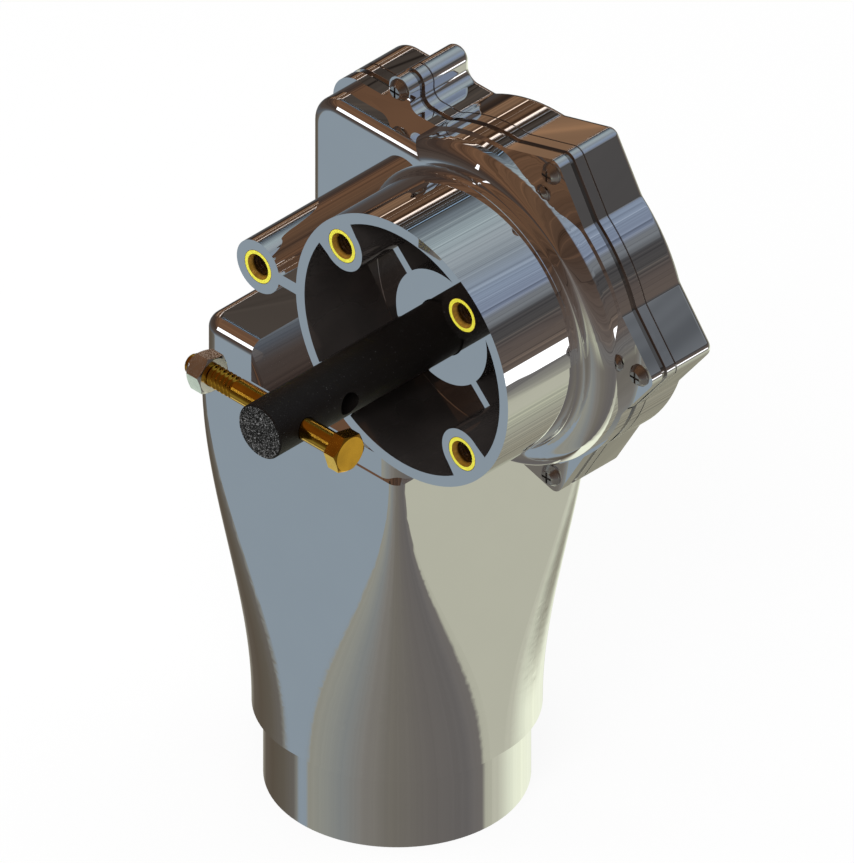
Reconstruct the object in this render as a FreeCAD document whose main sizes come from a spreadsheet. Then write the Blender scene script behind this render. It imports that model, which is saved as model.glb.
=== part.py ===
import FreeCAD, Part
import math
import os
import re

from FreeCAD import Placement, Rotation, Vector
from Sketcher import Constraint

# Worm gear motor. Millimetres, +Z up. The origin is the centre of the barrel's mounting
# face, on the output shaft's axis; the shaft points to -Y and the motor hangs down along -Z.
SIZES = {
    # barrel and its mounting face
    "barrel_radius": 50.0,
    "barrel_wall": 4.0,
    "hub_radius": 21.4,
    "hub_setback": 18.6,
    "hub_lip": 2.4,
    "rib_thickness": 3.2,
    "insert_circle": 40.0,
    "boss_radius": 9.4,
    "boss_foot": 10.9,
    "side_boss_x": -67.9,
    "side_boss_radius": 10.0,
    "side_web": 4.5,
    # threaded brass inserts
    "insert_radius": 6.3,
    "insert_bore": 3.7,
    "insert_length": 16.0,
    "insert_chamfer": 0.3,
    # gear case
    "case_face": 34.4,
    "case_wall": 4.0,
    "case_radius": 60.3,
    "case_bead": 7.5,
    "bead_root": 2.4,
    "cavity_radius": 50.0,
    "box_left": -77.7,
    "box_top": 50.2,
    "box_corner": 12.0,
    "box_edge": 4.0,
    # flange, gasket, bearing plate and rear cover, stacked from front to back
    "flange_face": 45.7,
    "flange_thickness": 4.7,
    "gasket_thickness": 2.3,
    "gasket_inset": 0.8,
    "plate_thickness": 4.0,
    "seam_thickness": 0.5,
    "seam_inset": 0.6,
    "cover_depth": 17.2,
    "cover_wall": 3.4,
    "cover_edge": 2.5,
    "stack_radius": 61.3,
    "stack_left": -78.2,
    "stack_top": 53.9,
    "lobe_tip": 73.4,
    "lobe_angle": 19.0,
    "lobe_round": 4.0,
    "finger_radius": 4.9,
    # cover screws
    "screw_circle": 66.3,
    "upper_screw_angle": 68.1,
    "finger_top_x": -46.8,
    "finger_top_z": 60.0,
    "finger_left_x": -82.5,
    "finger_left_z": -8.0,
    "screw_radius": 2.0,
    "screw_clearance": 0.25,
    "screw_head": 4.0,
    "screw_head_height": 2.4,
    "screw_length": 24.0,
    # motor axis, base plate and raised block
    "centre_distance": 52.0,
    "motor_depth": 49.7,
    "base_top": -51.3,
    "base_thickness": 8.9,
    "base_inset": 0.5,
    "base_corner": 7.8,
    "block_width": 24.6,
    "block_height": 15.0,
    "block_edge": 5.0,
    # motor housing
    "housing_half": 47.2,
    "housing_length": 132.7,
    "housing_corner_top": 3.9,
    "housing_corner_bottom": 43.9,
    "housing_roof": 5.8,
    "housing_gap": 0.3,
    # motor can and what it holds
    "can_radius": 44.7,
    "can_wall": 2.5,
    "can_floor": 3.0,
    "can_show": 29.4,
    "end_plate_thickness": 5.5,
    "end_plate_gap": 4.5,
    "housing_screw_spread": 0.62,
    "housing_screw_head": 3.5,
    "housing_screw_head_height": 3.6,
    "housing_screw_floor": 2.5,
    "magnet_thickness": 7.0,
    "magnet_length": 88.0,
    "magnet_angle": 140.0,
    "magnet_gap": 1.0,
    "core_length": 72.0,
    "core_rise": 66.3,
    "core_slot": 5.0,
    "core_slot_depth": 15.0,
    "core_slots": 12,
    "winding_height": 11.0,
    "winding_setback": 2.0,
    "winding_round": 3.0,
    "commutator_radius": 14.0,
    "commutator_length": 16.0,
    "commutator_gap": 3.0,
    "brush_width": 6.0,
    "brush_height": 10.0,
    "brush_length": 12.0,
    "spring_radius": 2.4,
    "spring_wire": 0.45,
    "spring_turns": 4,
    "holder_reach": 20.0,
    "holder_thickness": 3.0,
    "holder_wall": 2.0,
    "brush_play": 0.1,
    "ball_race": 1.4,
    "shield_setback": 0.5,
    # rotor shaft
    "rotor_radius": 6.0,
    "worm_seat": 5.0,
    "rotor_end": 4.0,
    "ball_outer_small": 11.0,
    "ball_width_small": 7.0,
    "ball_outer_large": 13.0,
    "ball_width_large": 8.0,
    "worm_ball_z": 36.0,
    "ball_lip": 3.0,
    "bracket_floor": 1.0,
    "bracket_side": 4.0,
    "bracket_depth": 4.0,
    "shaft_end_gap": 0.5,
    "shaft_way_gap": 1.0,
    # worm and wheel
    "gear_module": 2.0,
    "wheel_teeth": 43,
    "wheel_width": 12.0,
    "wheel_hub_radius": 18.0,
    "wheel_web": 5.0,
    "worm_length": 40.0,
    "mesh_backlash": 0.3,
    "pressure_angle": 20.0,
    # output shaft, its bearings and seal
    "shaft_radius": 10.0,
    "shaft_reach": 67.2,
    "shaft_rear_radius": 7.5,
    "shaft_chamfer": 0.5,
    "hole_radius": 4.15,
    "outer_hole": 54.7,
    "inner_hole": 34.5,
    "front_ball_outer": 18.5,
    "front_ball_width": 9.0,
    "rear_ball_outer": 16.0,
    "rear_ball_width": 9.0,
    "seal_radius": 16.0,
    "seal_width": 7.0,
    "seal_lip": 1.5,
    "seal_web": 2.0,
    "hub_gap": 0.4,
    "running_gap": 0.05,
    "key_width": 6.0,
    "key_height": 6.0,
    "key_depth": 3.5,
    "clip_thickness": 1.2,
    "clip_width": 2.4,
    "clip_groove": 1.0,
    # drive bolt and its nut
    "bolt_radius": 4.0,
    "bolt_length": 69.7,
    "bolt_tip": -44.7,
    "bolt_head_flats": 13.0,
    "bolt_head_height": 5.3,
    "nut_height": 6.4,
    "nut_collar": 1.6,
    "nut_place": -34.0,
    "nut_collar_inset": 1.0,
    "hex_bevel_share": 0.96,
}

doc = FreeCAD.newDocument("gear_motor")
sheet = doc.addObject("Spreadsheet::Sheet", "dims")
for row, (alias, number) in enumerate(SIZES.items(), 1):
    sheet.set(f"A{row}", alias)
    sheet.set(f"B{row}", str(number))
    sheet.setAlias(f"B{row}", alias)
doc.recompute()

PIECES = []


def size(alias):
    """Read one driving size from the sheet."""
    return float(sheet.get(alias))


def bound(text):
    """Turn a formula in plain size names into one that reads the sheet."""
    def refer(match):
        word = match.group()
        return "dims." + word if word in SIZES else word
    return re.sub(r"[a-z][a-z_]*", refer, str(text))


def body(label, x="0", y="0", z="0"):
    """Start a piece, with its own origin placed by formulas."""
    made = doc.addObject("PartDesign::Body", label)
    made.Label = label
    for axis, text in (("x", x), ("y", y), ("z", z)):
        made.setExpression("Placement.Base." + axis, bound(text))
    PIECES.append(made)
    return made


def origin_item(piece, role):
    """The origin plane or axis of a piece that has this role."""
    return next(item for item in piece.Origin.OriginFeatures if item.Role == role)


def sketch(piece, role, station="0", turn="0"):
    """A sketch on an origin plane, moved along its axis to a station and turned in its plane."""
    made = piece.newObject("Sketcher::SketchObject", "outline")
    made.AttachmentSupport = (origin_item(piece, role), "")
    made.MapMode = "FlatFace"
    sign = "-1" if role == "XZ_Plane" else "1"
    made.setExpression("AttachmentOffset.Base.z", bound(f"{sign} * ({station})"))
    made.AttachmentOffset = Placement(Vector(), Rotation(Vector(0, 0, 1), 1))
    made.setExpression("AttachmentOffset.Rotation.Angle", bound(f"({turn}) * 1 deg"))
    return made


def at(text):
    """The present value of a formula."""
    return float(sheet.evalExpression(bound(text)))


def constrain(flat, rules):
    """Add constraints at one go; each rule is a constraint's parts and, if sized, its formula."""
    made = []
    for parts, text in rules:
        made.append(Constraint(*parts, at(text)) if text is not None else Constraint(*parts))
    indexes = flat.addConstraint(made)
    for index, (parts, text) in zip(indexes, rules):
        if text is not None:
            flat.setExpression(f"Constraints[{index}]", bound(text))


def pinned(geometry, point, across, up):
    """Rules that place one point of a sketch from its origin."""
    return [(("DistanceX", -1, 1, geometry, point), across), (("DistanceY", -1, 1, geometry, point), up)]


def arc_between(start, end, radius, turn):
    """The short arc from start to end that turns left (1) or right (-1)."""
    chord = end.sub(start)
    rise = math.sqrt(max(radius ** 2 - chord.Length ** 2 / 4, 0))
    normal = Vector(-chord.y, chord.x, 0).normalize()
    centre = start.add(end).multiply(0.5).add(normal.multiply(turn * rise))
    first, last = (start, end) if turn > 0 else (end, start)
    low = math.atan2(first.y - centre.y, first.x - centre.x)
    high = math.atan2(last.y - centre.y, last.x - centre.x)
    return Part.ArcOfCircle(Part.Circle(centre, Vector(0, 0, 1), radius), low, high)


def polygon(flat, corners):
    """A closed outline through corners placed by formulas.

    A corner is (across, up), reached by a straight line, or (across, up, radius, turn),
    reached by an arc.
    """
    spots = [Vector(at(corner[0]), at(corner[1]), 0) for corner in corners]
    first = flat.GeometryCount
    shapes = []
    tips = []
    for k, corner in enumerate(corners):
        if len(corner) == 2:
            shapes.append(Part.LineSegment(spots[k - 1], spots[k]))
            tips.append((1, 2))
        else:
            turn = corner[3]
            shapes.append(arc_between(spots[k - 1], spots[k], at(corner[2]), turn))
            tips.append((1, 2) if turn > 0 else (2, 1))
    flat.addGeometry(shapes)
    rules = []
    for k, corner in enumerate(corners):
        after = (k + 1) % len(corners)
        rules.append((("Coincident", first + k, tips[k][1], first + after, tips[after][0]), None))
        rules += pinned(first + k, tips[k][1], corner[0], corner[1])
        if len(corner) > 2:
            rules.append((("Radius", first + k), corner[2]))
    constrain(flat, rules)


def circle(flat, radius, across="0", up="0"):
    """A circle placed and sized by formulas."""
    index = flat.addGeometry(Part.Circle(Vector(at(across), at(up), 0), Vector(0, 0, 1), at(radius)))
    constrain(flat, pinned(index, 3, across, up) + [(("Radius", index), radius)])


def rectangle(flat, left, right, low, high):
    polygon(flat, [(left, low), (right, low), (right, high), (left, high)])


def pad(piece, flat, length, forward=True):
    """Add material from a sketch: towards +X, +Y or +Z when forward."""
    made = piece.newObject("PartDesign::Pad", "pad")
    made.Profile = flat
    made.setExpression("Length", bound(length))
    on_xz = flat.AttachmentSupport[0][0].Role == "XZ_Plane"
    made.Reversed = on_xz == forward
    return made


def cut(piece, flat, length, forward=True):
    """Remove material from a sketch: towards +X, +Y or +Z when forward."""
    made = piece.newObject("PartDesign::Pocket", "pocket")
    made.Profile = flat
    made.setExpression("Length", bound(length))
    on_xz = flat.AttachmentSupport[0][0].Role == "XZ_Plane"
    made.Reversed = on_xz != forward
    return made


def revolve(piece, flat, kind="PartDesign::Revolution"):
    """Turn a sketch round its own upright axis."""
    made = piece.newObject(kind, "turn")
    made.Profile = flat
    made.ReferenceAxis = (flat, ["V_Axis"])
    made.Angle = 360.0
    return made


def turned(label, role, corners, **place):
    """A piece turned round Y (sketch on XY) or round Z (sketch on XZ)."""
    made = body(label, **place)
    flat = sketch(made, role)
    polygon(flat, corners)
    revolve(made, flat)
    return made


def pattern(piece, originals, count, role="Y_Axis"):
    """Repeat features evenly round an axis of the piece."""
    made = piece.newObject("PartDesign::PolarPattern", "ring")
    made.Originals = originals
    made.Axis = (origin_item(piece, role), [""])
    made.Angle = 360.0
    made.setExpression("Occurrences", bound(count))
    piece.Tip = made
    return made


def smooth(piece, radius, wanted, kind="PartDesign::Fillet"):
    """Round or bevel the edges of a piece that a test picks out."""
    doc.recompute()
    base = piece.Tip
    names = [f"Edge{n}" for n, edge in enumerate(base.Shape.Edges, 1) if wanted(edge)]
    made = piece.newObject(kind, "edge")
    made.Base = (base, names)
    made.setExpression("Radius" if kind.endswith("Fillet") else "Size", bound(radius))
    return made


def near(first, second):
    return abs(first - second) < 0.01


def is_sharp(shape, edge):
    """True where the two faces of an edge meet at an angle."""
    point = edge.valueAt((edge.FirstParameter + edge.LastParameter) / 2)
    faces = shape.ancestorsOfType(edge, Part.Face)
    normals = [face.normalAt(*face.Surface.parameter(point)) for face in faces]
    return len(normals) == 2 and normals[0].cross(normals[1]).Length > 0.1


def is_ring(edge, radius, station, axis="y"):
    """True for a full or part circle of this radius at this station."""
    curve = edge.Curve
    if not isinstance(curve, Part.Circle):
        return False
    return near(curve.Radius, radius) and near(getattr(curve.Center, axis), station)


def is_line_along(edge, direction, **place):
    """True for a straight edge along a direction whose ends hold these coordinates."""
    if not isinstance(edge.Curve, Part.Line):
        return False
    if abs(edge.tangentAt(edge.FirstParameter).dot(direction)) < 0.999:
        return False
    ends = [vertex.Point for vertex in edge.Vertexes]
    return all(near(getattr(end, axis), value) for end in ends for axis, value in place.items())


# Stations of the stack along Y.
GASKET_FACE = "flange_face + flange_thickness"
PLATE_FACE = f"{GASKET_FACE} + gasket_thickness"
SEAM_FACE = f"{PLATE_FACE} + plate_thickness"
COVER_FACE = f"{SEAM_FACE} + seam_thickness"
COVER_BACK = f"{COVER_FACE} + cover_depth"
CAVITY_FACE = "case_face + case_wall"
BASE_BOTTOM = "base_top - base_thickness"
HOUSING_BOTTOM = f"{BASE_BOTTOM} - housing_length"
CAN_BOTTOM = f"{HOUSING_BOTTOM} - can_show"
MOTOR_X = "-1 * centre_distance"
SCREW_SPOTS = [
    ("screw_circle * cos(upper_screw_angle)", "screw_circle * sin(upper_screw_angle)"),
    ("screw_circle", "0"),
    ("screw_circle * cos(upper_screw_angle)", "-1 * screw_circle * sin(upper_screw_angle)"),
    ("finger_top_x", "finger_top_z"),
    ("finger_left_x", "finger_left_z"),
]
INSERT_SPOTS = [
    ("insert_circle * cos(45)", "insert_circle * sin(45)"),
    ("-1 * insert_circle * cos(45)", "insert_circle * sin(45)"),
    ("-1 * insert_circle * cos(45)", "-1 * insert_circle * sin(45)"),
    ("insert_circle * cos(45)", "-1 * insert_circle * sin(45)"),
    ("side_boss_x", "0"),
]


def stack_outline(flat, inset="0"):
    """The flange's outline: a round, a box, three pointed lobes and two round fingers."""
    reach = f"(stack_radius - {inset})"
    tip = f"(lobe_tip - {inset})"
    half = f"(finger_radius - {inset})"
    top = f"(stack_top - {inset})"
    left = f"(stack_left + {inset})"
    low = f"(base_top + housing_gap + {inset})"
    right = f"(housing_half - centre_distance + housing_gap + {inset})"
    corners = [(right, f"-1 * sqrt({reach} ^ 2 - {right} ^ 2)")]
    for angle in ("(-1 * upper_screw_angle)", "(0)", "(upper_screw_angle)"):
        start = f"({angle} - lobe_angle)"
        end = f"({angle} + lobe_angle)"
        corners += [
            (f"{reach} * cos({start})", f"{reach} * sin({start})", reach, 1),
            (f"{tip} * cos({angle})", f"{tip} * sin({angle})"),
            (f"{reach} * cos({end})", f"{reach} * sin({end})"),
        ]
    corners += [
        (f"-1 * sqrt({reach} ^ 2 - {top} ^ 2)", top, reach, 1),
        (f"finger_top_x + {half}", top),
        (f"finger_top_x + {half}", "finger_top_z"),
        ("finger_top_x", f"finger_top_z + {half}", half, 1),
        (f"finger_top_x - {half}", "finger_top_z", half, 1),
        (f"finger_top_x - {half}", top),
        (f"{left} + box_corner", top),
        (left, f"{top} - box_corner", "box_corner", 1),
        (left, f"finger_left_z + {half}"),
        ("finger_left_x", f"finger_left_z + {half}"),
        (f"finger_left_x - {half}", "finger_left_z", half, 1),
        ("finger_left_x", f"finger_left_z - {half}", half, 1),
        (left, f"finger_left_z - {half}"),
        (left, low),
        (right, low),
    ]
    polygon(flat, corners)


def cavity_outline(flat):
    """The inner hollow: a round for the wheel and a box for the worm."""
    low = "(base_top + case_wall)"
    top = "(box_top - case_wall)"
    left = "(box_left + case_wall)"
    corner = "(box_corner - case_wall)"
    polygon(flat, [
        (f"-1 * sqrt(cavity_radius ^ 2 - {low} ^ 2)", low),
        ("cavity_radius", "0", "cavity_radius", 1),
        (f"-1 * sqrt(cavity_radius ^ 2 - {top} ^ 2)", top, "cavity_radius", 1),
        (f"{left} + {corner}", top),
        (left, f"{top} - {corner}", corner, 1),
        (left, low),
    ])


def stack_layer(piece, face, thickness, inset="0", open_middle=False):
    """One layer of the stack, with its corners rounded."""
    flat = sketch(piece, "XZ_Plane", face)
    stack_outline(flat, inset)
    if open_middle:
        cavity_outline(flat)
        for across, up in SCREW_SPOTS:
            circle(flat, "screw_radius + screw_clearance", across, up)
    return pad(piece, flat, thickness)


def round_stack(piece, face, thickness):
    """Round the sharp upright corners of a stack layer."""
    doc.recompute()
    shape = piece.Tip.Shape
    low = at("base_top + base_thickness")
    right = at("housing_half - centre_distance + base_thickness")
    front = at(face)
    length = at(thickness)

    def corner(edge):
        if not is_line_along(edge, Vector(0, 1, 0)) or not near(edge.Length, length):
            return False
        end = edge.Vertexes[0].Point
        outside = end.z > low or end.x > right
        inner = math.hypot(end.x, end.z) < at("cavity_radius") + 1 or near(end.z, at("box_top - case_wall"))
        return outside and not inner and near(edge.BoundBox.YMin, front) and is_sharp(shape, edge)
    smooth(piece, "lobe_round", corner)


def screw_holes(piece, face, depth, radius):
    flat = sketch(piece, "XZ_Plane", face)
    for across, up in SCREW_SPOTS:
        circle(flat, radius, across, up)
    cut(piece, flat, depth)


def make_gear_case():
    """The casting: barrel with ribbed hub, gear chamber, base plate and raised block."""
    made = body("gear_case")
    chest = sketch(made, "XZ_Plane", "case_face")
    rectangle(chest, "box_left", "-1 * hub_radius", "base_top - base_thickness / 2", "box_top")
    pad(made, chest, "flange_face + flange_thickness / 2 - case_face")
    smooth(made, "box_corner", lambda edge: is_line_along(
        edge, Vector(0, 1, 0), x=size("box_left"), z=size("box_top")))

    def front_rim(edge):
        if edge.BoundBox.YLength > 0.01 or not near(edge.BoundBox.YMin, size("case_face")):
            return False
        middle = edge.valueAt((edge.FirstParameter + edge.LastParameter) / 2)
        on_top = near(middle.z, size("box_top"))
        on_left = near(middle.x, size("box_left"))
        on_corner = isinstance(edge.Curve, Part.Circle) and near(edge.Curve.Radius, size("box_corner"))
        return on_top or on_left or on_corner
    smooth(made, "box_edge", front_rim)

    profile = sketch(made, "XY_Plane")
    polygon(profile, [
        ("barrel_radius - barrel_wall", "0"),
        ("barrel_radius", "0"),
        ("barrel_radius", "case_face"),
        ("case_radius - case_bead", "case_face"),
        ("case_radius", "case_face + case_bead"),
        ("case_radius", "flange_face + flange_thickness / 2"),
        ("front_ball_outer", "flange_face + flange_thickness / 2"),
        ("front_ball_outer", "hub_setback + hub_lip + seal_width"),
        ("seal_radius", "hub_setback + hub_lip + seal_width"),
        ("seal_radius", "hub_setback + hub_lip"),
        ("shaft_radius + hub_gap", "hub_setback + hub_lip"),
        ("shaft_radius + hub_gap", "hub_setback"),
        ("hub_radius", "hub_setback"),
        ("hub_radius", "case_face"),
        ("barrel_radius - barrel_wall", "case_face"),
    ])
    revolve(made, profile)
    bead = made.newObject("PartDesign::AdditiveTorus", "bead")
    bead.AttachmentSupport = (origin_item(made, "XZ_Plane"), "")
    bead.MapMode = "FlatFace"
    bead.setExpression("AttachmentOffset.Base.z", bound("-1 * (case_face + case_bead)"))
    bead.setExpression("Radius1", bound("case_radius - case_bead"))
    bead.setExpression("Radius2", bound("case_bead"))
    smooth(made, "bead_root", lambda edge: is_ring(edge, size("barrel_radius"), size("case_face")))

    stack_layer(made, "flange_face", "flange_thickness")
    round_stack(made, "flange_face", "flange_thickness")

    plate = sketch(made, "XY_Plane", BASE_BOTTOM)
    half = "(housing_half - base_inset)"
    rectangle(plate, f"{MOTOR_X} - {half}", f"{MOTOR_X} + {half}",
              f"motor_depth - {half}", f"motor_depth + {half}")
    pad(made, plate, "base_thickness")
    block = sketch(made, "XY_Plane", "base_top - base_thickness / 2")
    rectangle(block, f"{MOTOR_X} - {half}", f"{MOTOR_X} - {half} + block_width",
              f"motor_depth - {half}", "flange_face")
    pad(made, block, "block_height + base_thickness / 2")
    left = size("housing_half") - size("base_inset")

    def plate_corner(edge):
        if not is_line_along(edge, Vector(0, 0, 1)):
            return False
        middle = edge.CenterOfMass
        across = abs(middle.x + size("centre_distance"))
        deep = abs(middle.y - size("motor_depth"))
        return near(across, left) and near(deep, left)
    smooth(made, "base_corner", plate_corner)
    front = size("motor_depth") - left
    block_left = -size("centre_distance") - left
    block_top = size("base_top") + size("block_height")

    def block_top_rim(edge):
        box = edge.BoundBox
        if box.ZLength > 0.01 or not near(box.ZMin, block_top):
            return False
        at_front = near(box.YMin, front) and box.YMax < front + size("base_corner") + 0.1
        at_left = near(box.XMin, block_left)
        return at_front or at_left
    smooth(made, "block_edge", block_top_rim)

    side_boss = sketch(made, "XZ_Plane")
    circle(side_boss, "side_boss_radius", "side_boss_x")
    pad(made, side_boss, "case_face + case_wall / 2")
    web = sketch(made, "XZ_Plane")
    rectangle(web, "side_boss_x + side_boss_radius / 2", "-1 * (barrel_radius - barrel_wall / 2)",
              "-1 * side_web / 2", "side_web / 2")
    pad(made, web, "case_face + case_wall / 2")

    column = sketch(made, "XZ_Plane", "0", "45")
    inner_wall = "(barrel_radius - barrel_wall / 2)"
    polygon(column, [
        ("insert_circle", "-1 * boss_radius", "boss_radius", 1),
        (inner_wall, "-1 * boss_foot"),
        (inner_wall, "boss_foot"),
        ("insert_circle", "boss_radius"),
        ("insert_circle - boss_radius", "0", "boss_radius", 1),
    ])
    boss = pad(made, column, "case_face + case_wall / 2")
    strut = sketch(made, "XZ_Plane", "hub_setback", "45")
    rectangle(strut, "hub_radius - rib_thickness / 2", "insert_circle - boss_radius / 2",
              "-1 * rib_thickness / 2", "rib_thickness / 2")
    rib = pad(made, strut, "case_face - hub_setback + case_wall / 2")
    pattern(made, [boss, rib], "4")

    hollow = sketch(made, "XZ_Plane", CAVITY_FACE)
    cavity_outline(hollow)
    cut(made, hollow, "flange_face + flange_thickness - case_face")
    seats = sketch(made, "XZ_Plane")
    for across, up in INSERT_SPOTS:
        circle(seats, "insert_radius", across, up)
    cut(made, seats, "insert_length")
    screw_holes(made, "flange_face", "flange_thickness", "screw_radius + screw_clearance")

    seat = sketch(made, "XY_Plane", BASE_BOTTOM)
    circle(seat, "ball_outer_large", MOTOR_X, "motor_depth")
    cut(made, seat, "ball_width_large")
    passage = sketch(made, "XY_Plane", BASE_BOTTOM)
    circle(passage, "ball_outer_large - ball_lip", MOTOR_X, "motor_depth")
    cut(made, passage, "base_thickness + case_wall + 1")
    threads = sketch(made, "XY_Plane", BASE_BOTTOM)
    housing_screw_circles(threads, "screw_radius + running_gap")
    cut(made, threads, "base_thickness - housing_screw_floor")


def housing_screw_circles(flat, radius, x=MOTOR_X, y="motor_depth"):
    """Four circles in a square round the motor axis."""
    offset = "can_radius * housing_screw_spread"
    for side in ("-1", "1"):
        for depth in ("-1", "1"):
            circle(flat, radius, f"{x} + {side} * {offset}", f"{y} + {depth} * {offset}")


def make_flat_layers():
    """The rubber gasket, the bearing plate and the thin cover seam."""
    layers = [("gasket", GASKET_FACE, "gasket_thickness", "gasket_inset"),
              ("bearing_plate", PLATE_FACE, "plate_thickness", "0"),
              ("cover_seam", SEAM_FACE, "seam_thickness", "seam_inset")]
    for label, face, thickness, inset in layers:
        made = body(label)
        stack_layer(made, face, thickness, inset, open_middle=True)
        round_stack(made, face, thickness)
        if label == "cover_seam":
            continue
        way = sketch(made, "XY_Plane", BASE_BOTTOM)
        circle(way, "worm_seat + shaft_way_gap", MOTOR_X, "motor_depth")
        cut(made, way, "base_thickness + case_wall + 1")
        if label == "bearing_plate":
            add_worm_bracket(made, face, thickness)


def add_worm_bracket(plate, face, thickness):
    """The bracket on the bearing plate that holds the worm's upper bearing."""
    half = "(ball_outer_small + bracket_side)"
    left = f"{MOTOR_X} - {half}"
    right = f"{MOTOR_X} + {half}"
    block = sketch(plate, "XY_Plane", "worm_ball_z - bracket_floor")
    rectangle(block, left, right, "motor_depth - ball_outer_small - brush_play",
              f"{SEAM_FACE} + bracket_depth")
    pad(plate, block, "box_top - case_wall - housing_gap - worm_ball_z + bracket_floor")
    neck = sketch(plate, "XZ_Plane", face)
    rectangle(neck, left, right, "box_top - case_wall - 2", "box_top - case_wall / 2")
    pad(plate, neck, thickness)
    bore = sketch(plate, "XY_Plane", "worm_ball_z")
    circle(bore, "ball_outer_small", MOTOR_X, "motor_depth")
    cut(plate, bore, "ball_width_small")
    through = sketch(plate, "XY_Plane", "worm_ball_z - 2 * bracket_floor")
    circle(through, "ball_outer_small - ball_lip", MOTOR_X, "motor_depth")
    cut(plate, through, "ball_width_small + 3 * bracket_floor")


def make_rear_cover():
    made = body("rear_cover")
    stack_layer(made, COVER_FACE, "cover_depth")
    round_stack(made, COVER_FACE, "cover_depth")
    back = at(COVER_BACK)
    low = at("base_top + housing_gap")

    def back_rim(edge):
        if edge.BoundBox.YLength > 0.01 or not near(edge.BoundBox.YMin, back):
            return False
        beside_housing = edge.CenterOfMass.z < low + 0.5 and edge.BoundBox.XMin < 0
        return not beside_housing
    smooth(made, "cover_edge", back_rim)
    hollow = sketch(made, "XZ_Plane", COVER_FACE)
    cavity_outline(hollow)
    cut(made, hollow, "cover_depth - cover_wall")
    boss = sketch(made, "XZ_Plane", f"{COVER_BACK} - cover_wall - rear_ball_width")
    circle(boss, "rear_ball_outer + cover_wall")
    pad(made, boss, "rear_ball_width + cover_wall / 2")
    bore = sketch(made, "XZ_Plane", f"{COVER_BACK} - cover_wall - rear_ball_width")
    circle(bore, "rear_ball_outer")
    cut(made, bore, "rear_ball_width")
    screw_holes(made, COVER_FACE, "screw_length - flange_thickness", "screw_radius + screw_clearance / 2")


def make_cover_screws():
    """Five pan-head screws that hold the stack together."""
    made = body("cover_screws")
    for across, up in SCREW_SPOTS:
        head = sketch(made, "XZ_Plane", "flange_face - screw_head_height")
        circle(head, "screw_head", across, up)
        pad(made, head, "screw_head_height")
        shank = sketch(made, "XZ_Plane", "flange_face - screw_head_height / 2")
        circle(shank, "screw_radius", across, up)
        pad(made, shank, "screw_length + screw_head_height / 2")
    smooth(made, "screw_head_height / 2", lambda edge: is_ring(
        edge, size("screw_head"), size("flange_face") - size("screw_head_height")))


def make_inserts():
    """Four brass inserts in the barrel and one in the side boss."""
    made = body("threaded_inserts")
    for across, up in INSERT_SPOTS:
        rod = sketch(made, "XZ_Plane")
        circle(rod, "insert_radius", across, up)
        pad(made, rod, "insert_length")
        bore = sketch(made, "XZ_Plane")
        circle(bore, "insert_bore", across, up)
        cut(made, bore, "insert_length + 1")
    smooth(made, "insert_chamfer", lambda edge: is_ring(
        edge, size("insert_bore"), 0), "PartDesign::Chamfer")


def make_housing():
    """Square at the top and nearly round at the bottom, lofted through rounded squares."""
    made = body("motor_housing", MOTOR_X, "motor_depth", BASE_BOTTOM)
    steps = 8
    sections = []
    for step in range(steps + 1):
        flat = sketch(made, "XY_Plane", f"-1 * housing_length * {step} / {steps}")
        grow = "(housing_corner_bottom - housing_corner_top)"
        corner = f"housing_corner_top + {grow} * (1 - cos(180 * {step} / {steps})) / 2"
        rounded_square(flat, "housing_half", corner)
        sections.append(flat)
    loft = made.newObject("PartDesign::AdditiveLoft", "shroud")
    loft.Profile = sections[0]
    loft.Sections = sections[1:]
    loft.Ruled = False
    bore = sketch(made, "XY_Plane", "-1 * housing_roof")
    circle(bore, "can_radius + housing_gap")
    cut(made, bore, "housing_length", forward=False)
    passage = sketch(made, "XY_Plane", "0")
    circle(passage, "ball_outer_large - ball_lip")
    cut(made, passage, "housing_roof + 1", forward=False)
    holes = sketch(made, "XY_Plane", "0")
    housing_screw_circles(holes, "screw_radius + screw_clearance", "0", "0")
    cut(made, holes, "housing_roof + 1", forward=False)


def rounded_square(flat, half, radius):
    """A square with round corners, about the sketch's origin."""
    wide = at(half)
    inner = wide - at(radius)
    for quarter in range(4):
        turn = Placement(Vector(), Rotation(Vector(0, 0, 1), 90 * quarter))
        side = Part.LineSegment(turn.multVec(Vector(wide, -inner, 0)), turn.multVec(Vector(wide, inner, 0)))
        flat.addGeometry(side)
        round_curve = Part.Circle(turn.multVec(Vector(inner, inner, 0)), Vector(0, 0, 1), wide - inner)
        start = math.pi / 2 * quarter
        flat.addGeometry(Part.ArcOfCircle(round_curve, start, start + math.pi / 2))
    rules = []
    for quarter in range(4):
        side = 2 * quarter
        arc = side + 1
        rules.append((("Tangent", side, 2, arc, 1), None))
        rules.append((("Tangent", arc, 2, (side + 2) % 8, 1), None))
        rules.append((("Vertical" if quarter % 2 == 0 else "Horizontal", side), None))
        rule = "DistanceX" if quarter % 2 == 0 else "DistanceY"
        sign = "1" if quarter < 2 else "-1"
        rules.append(((rule, -1, 1, side, 1), f"{sign} * {half}"))
        if quarter:
            rules.append((("Equal", 1, arc), None))
    rules.append((("Radius", 1), radius))
    constrain(flat, rules)


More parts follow.
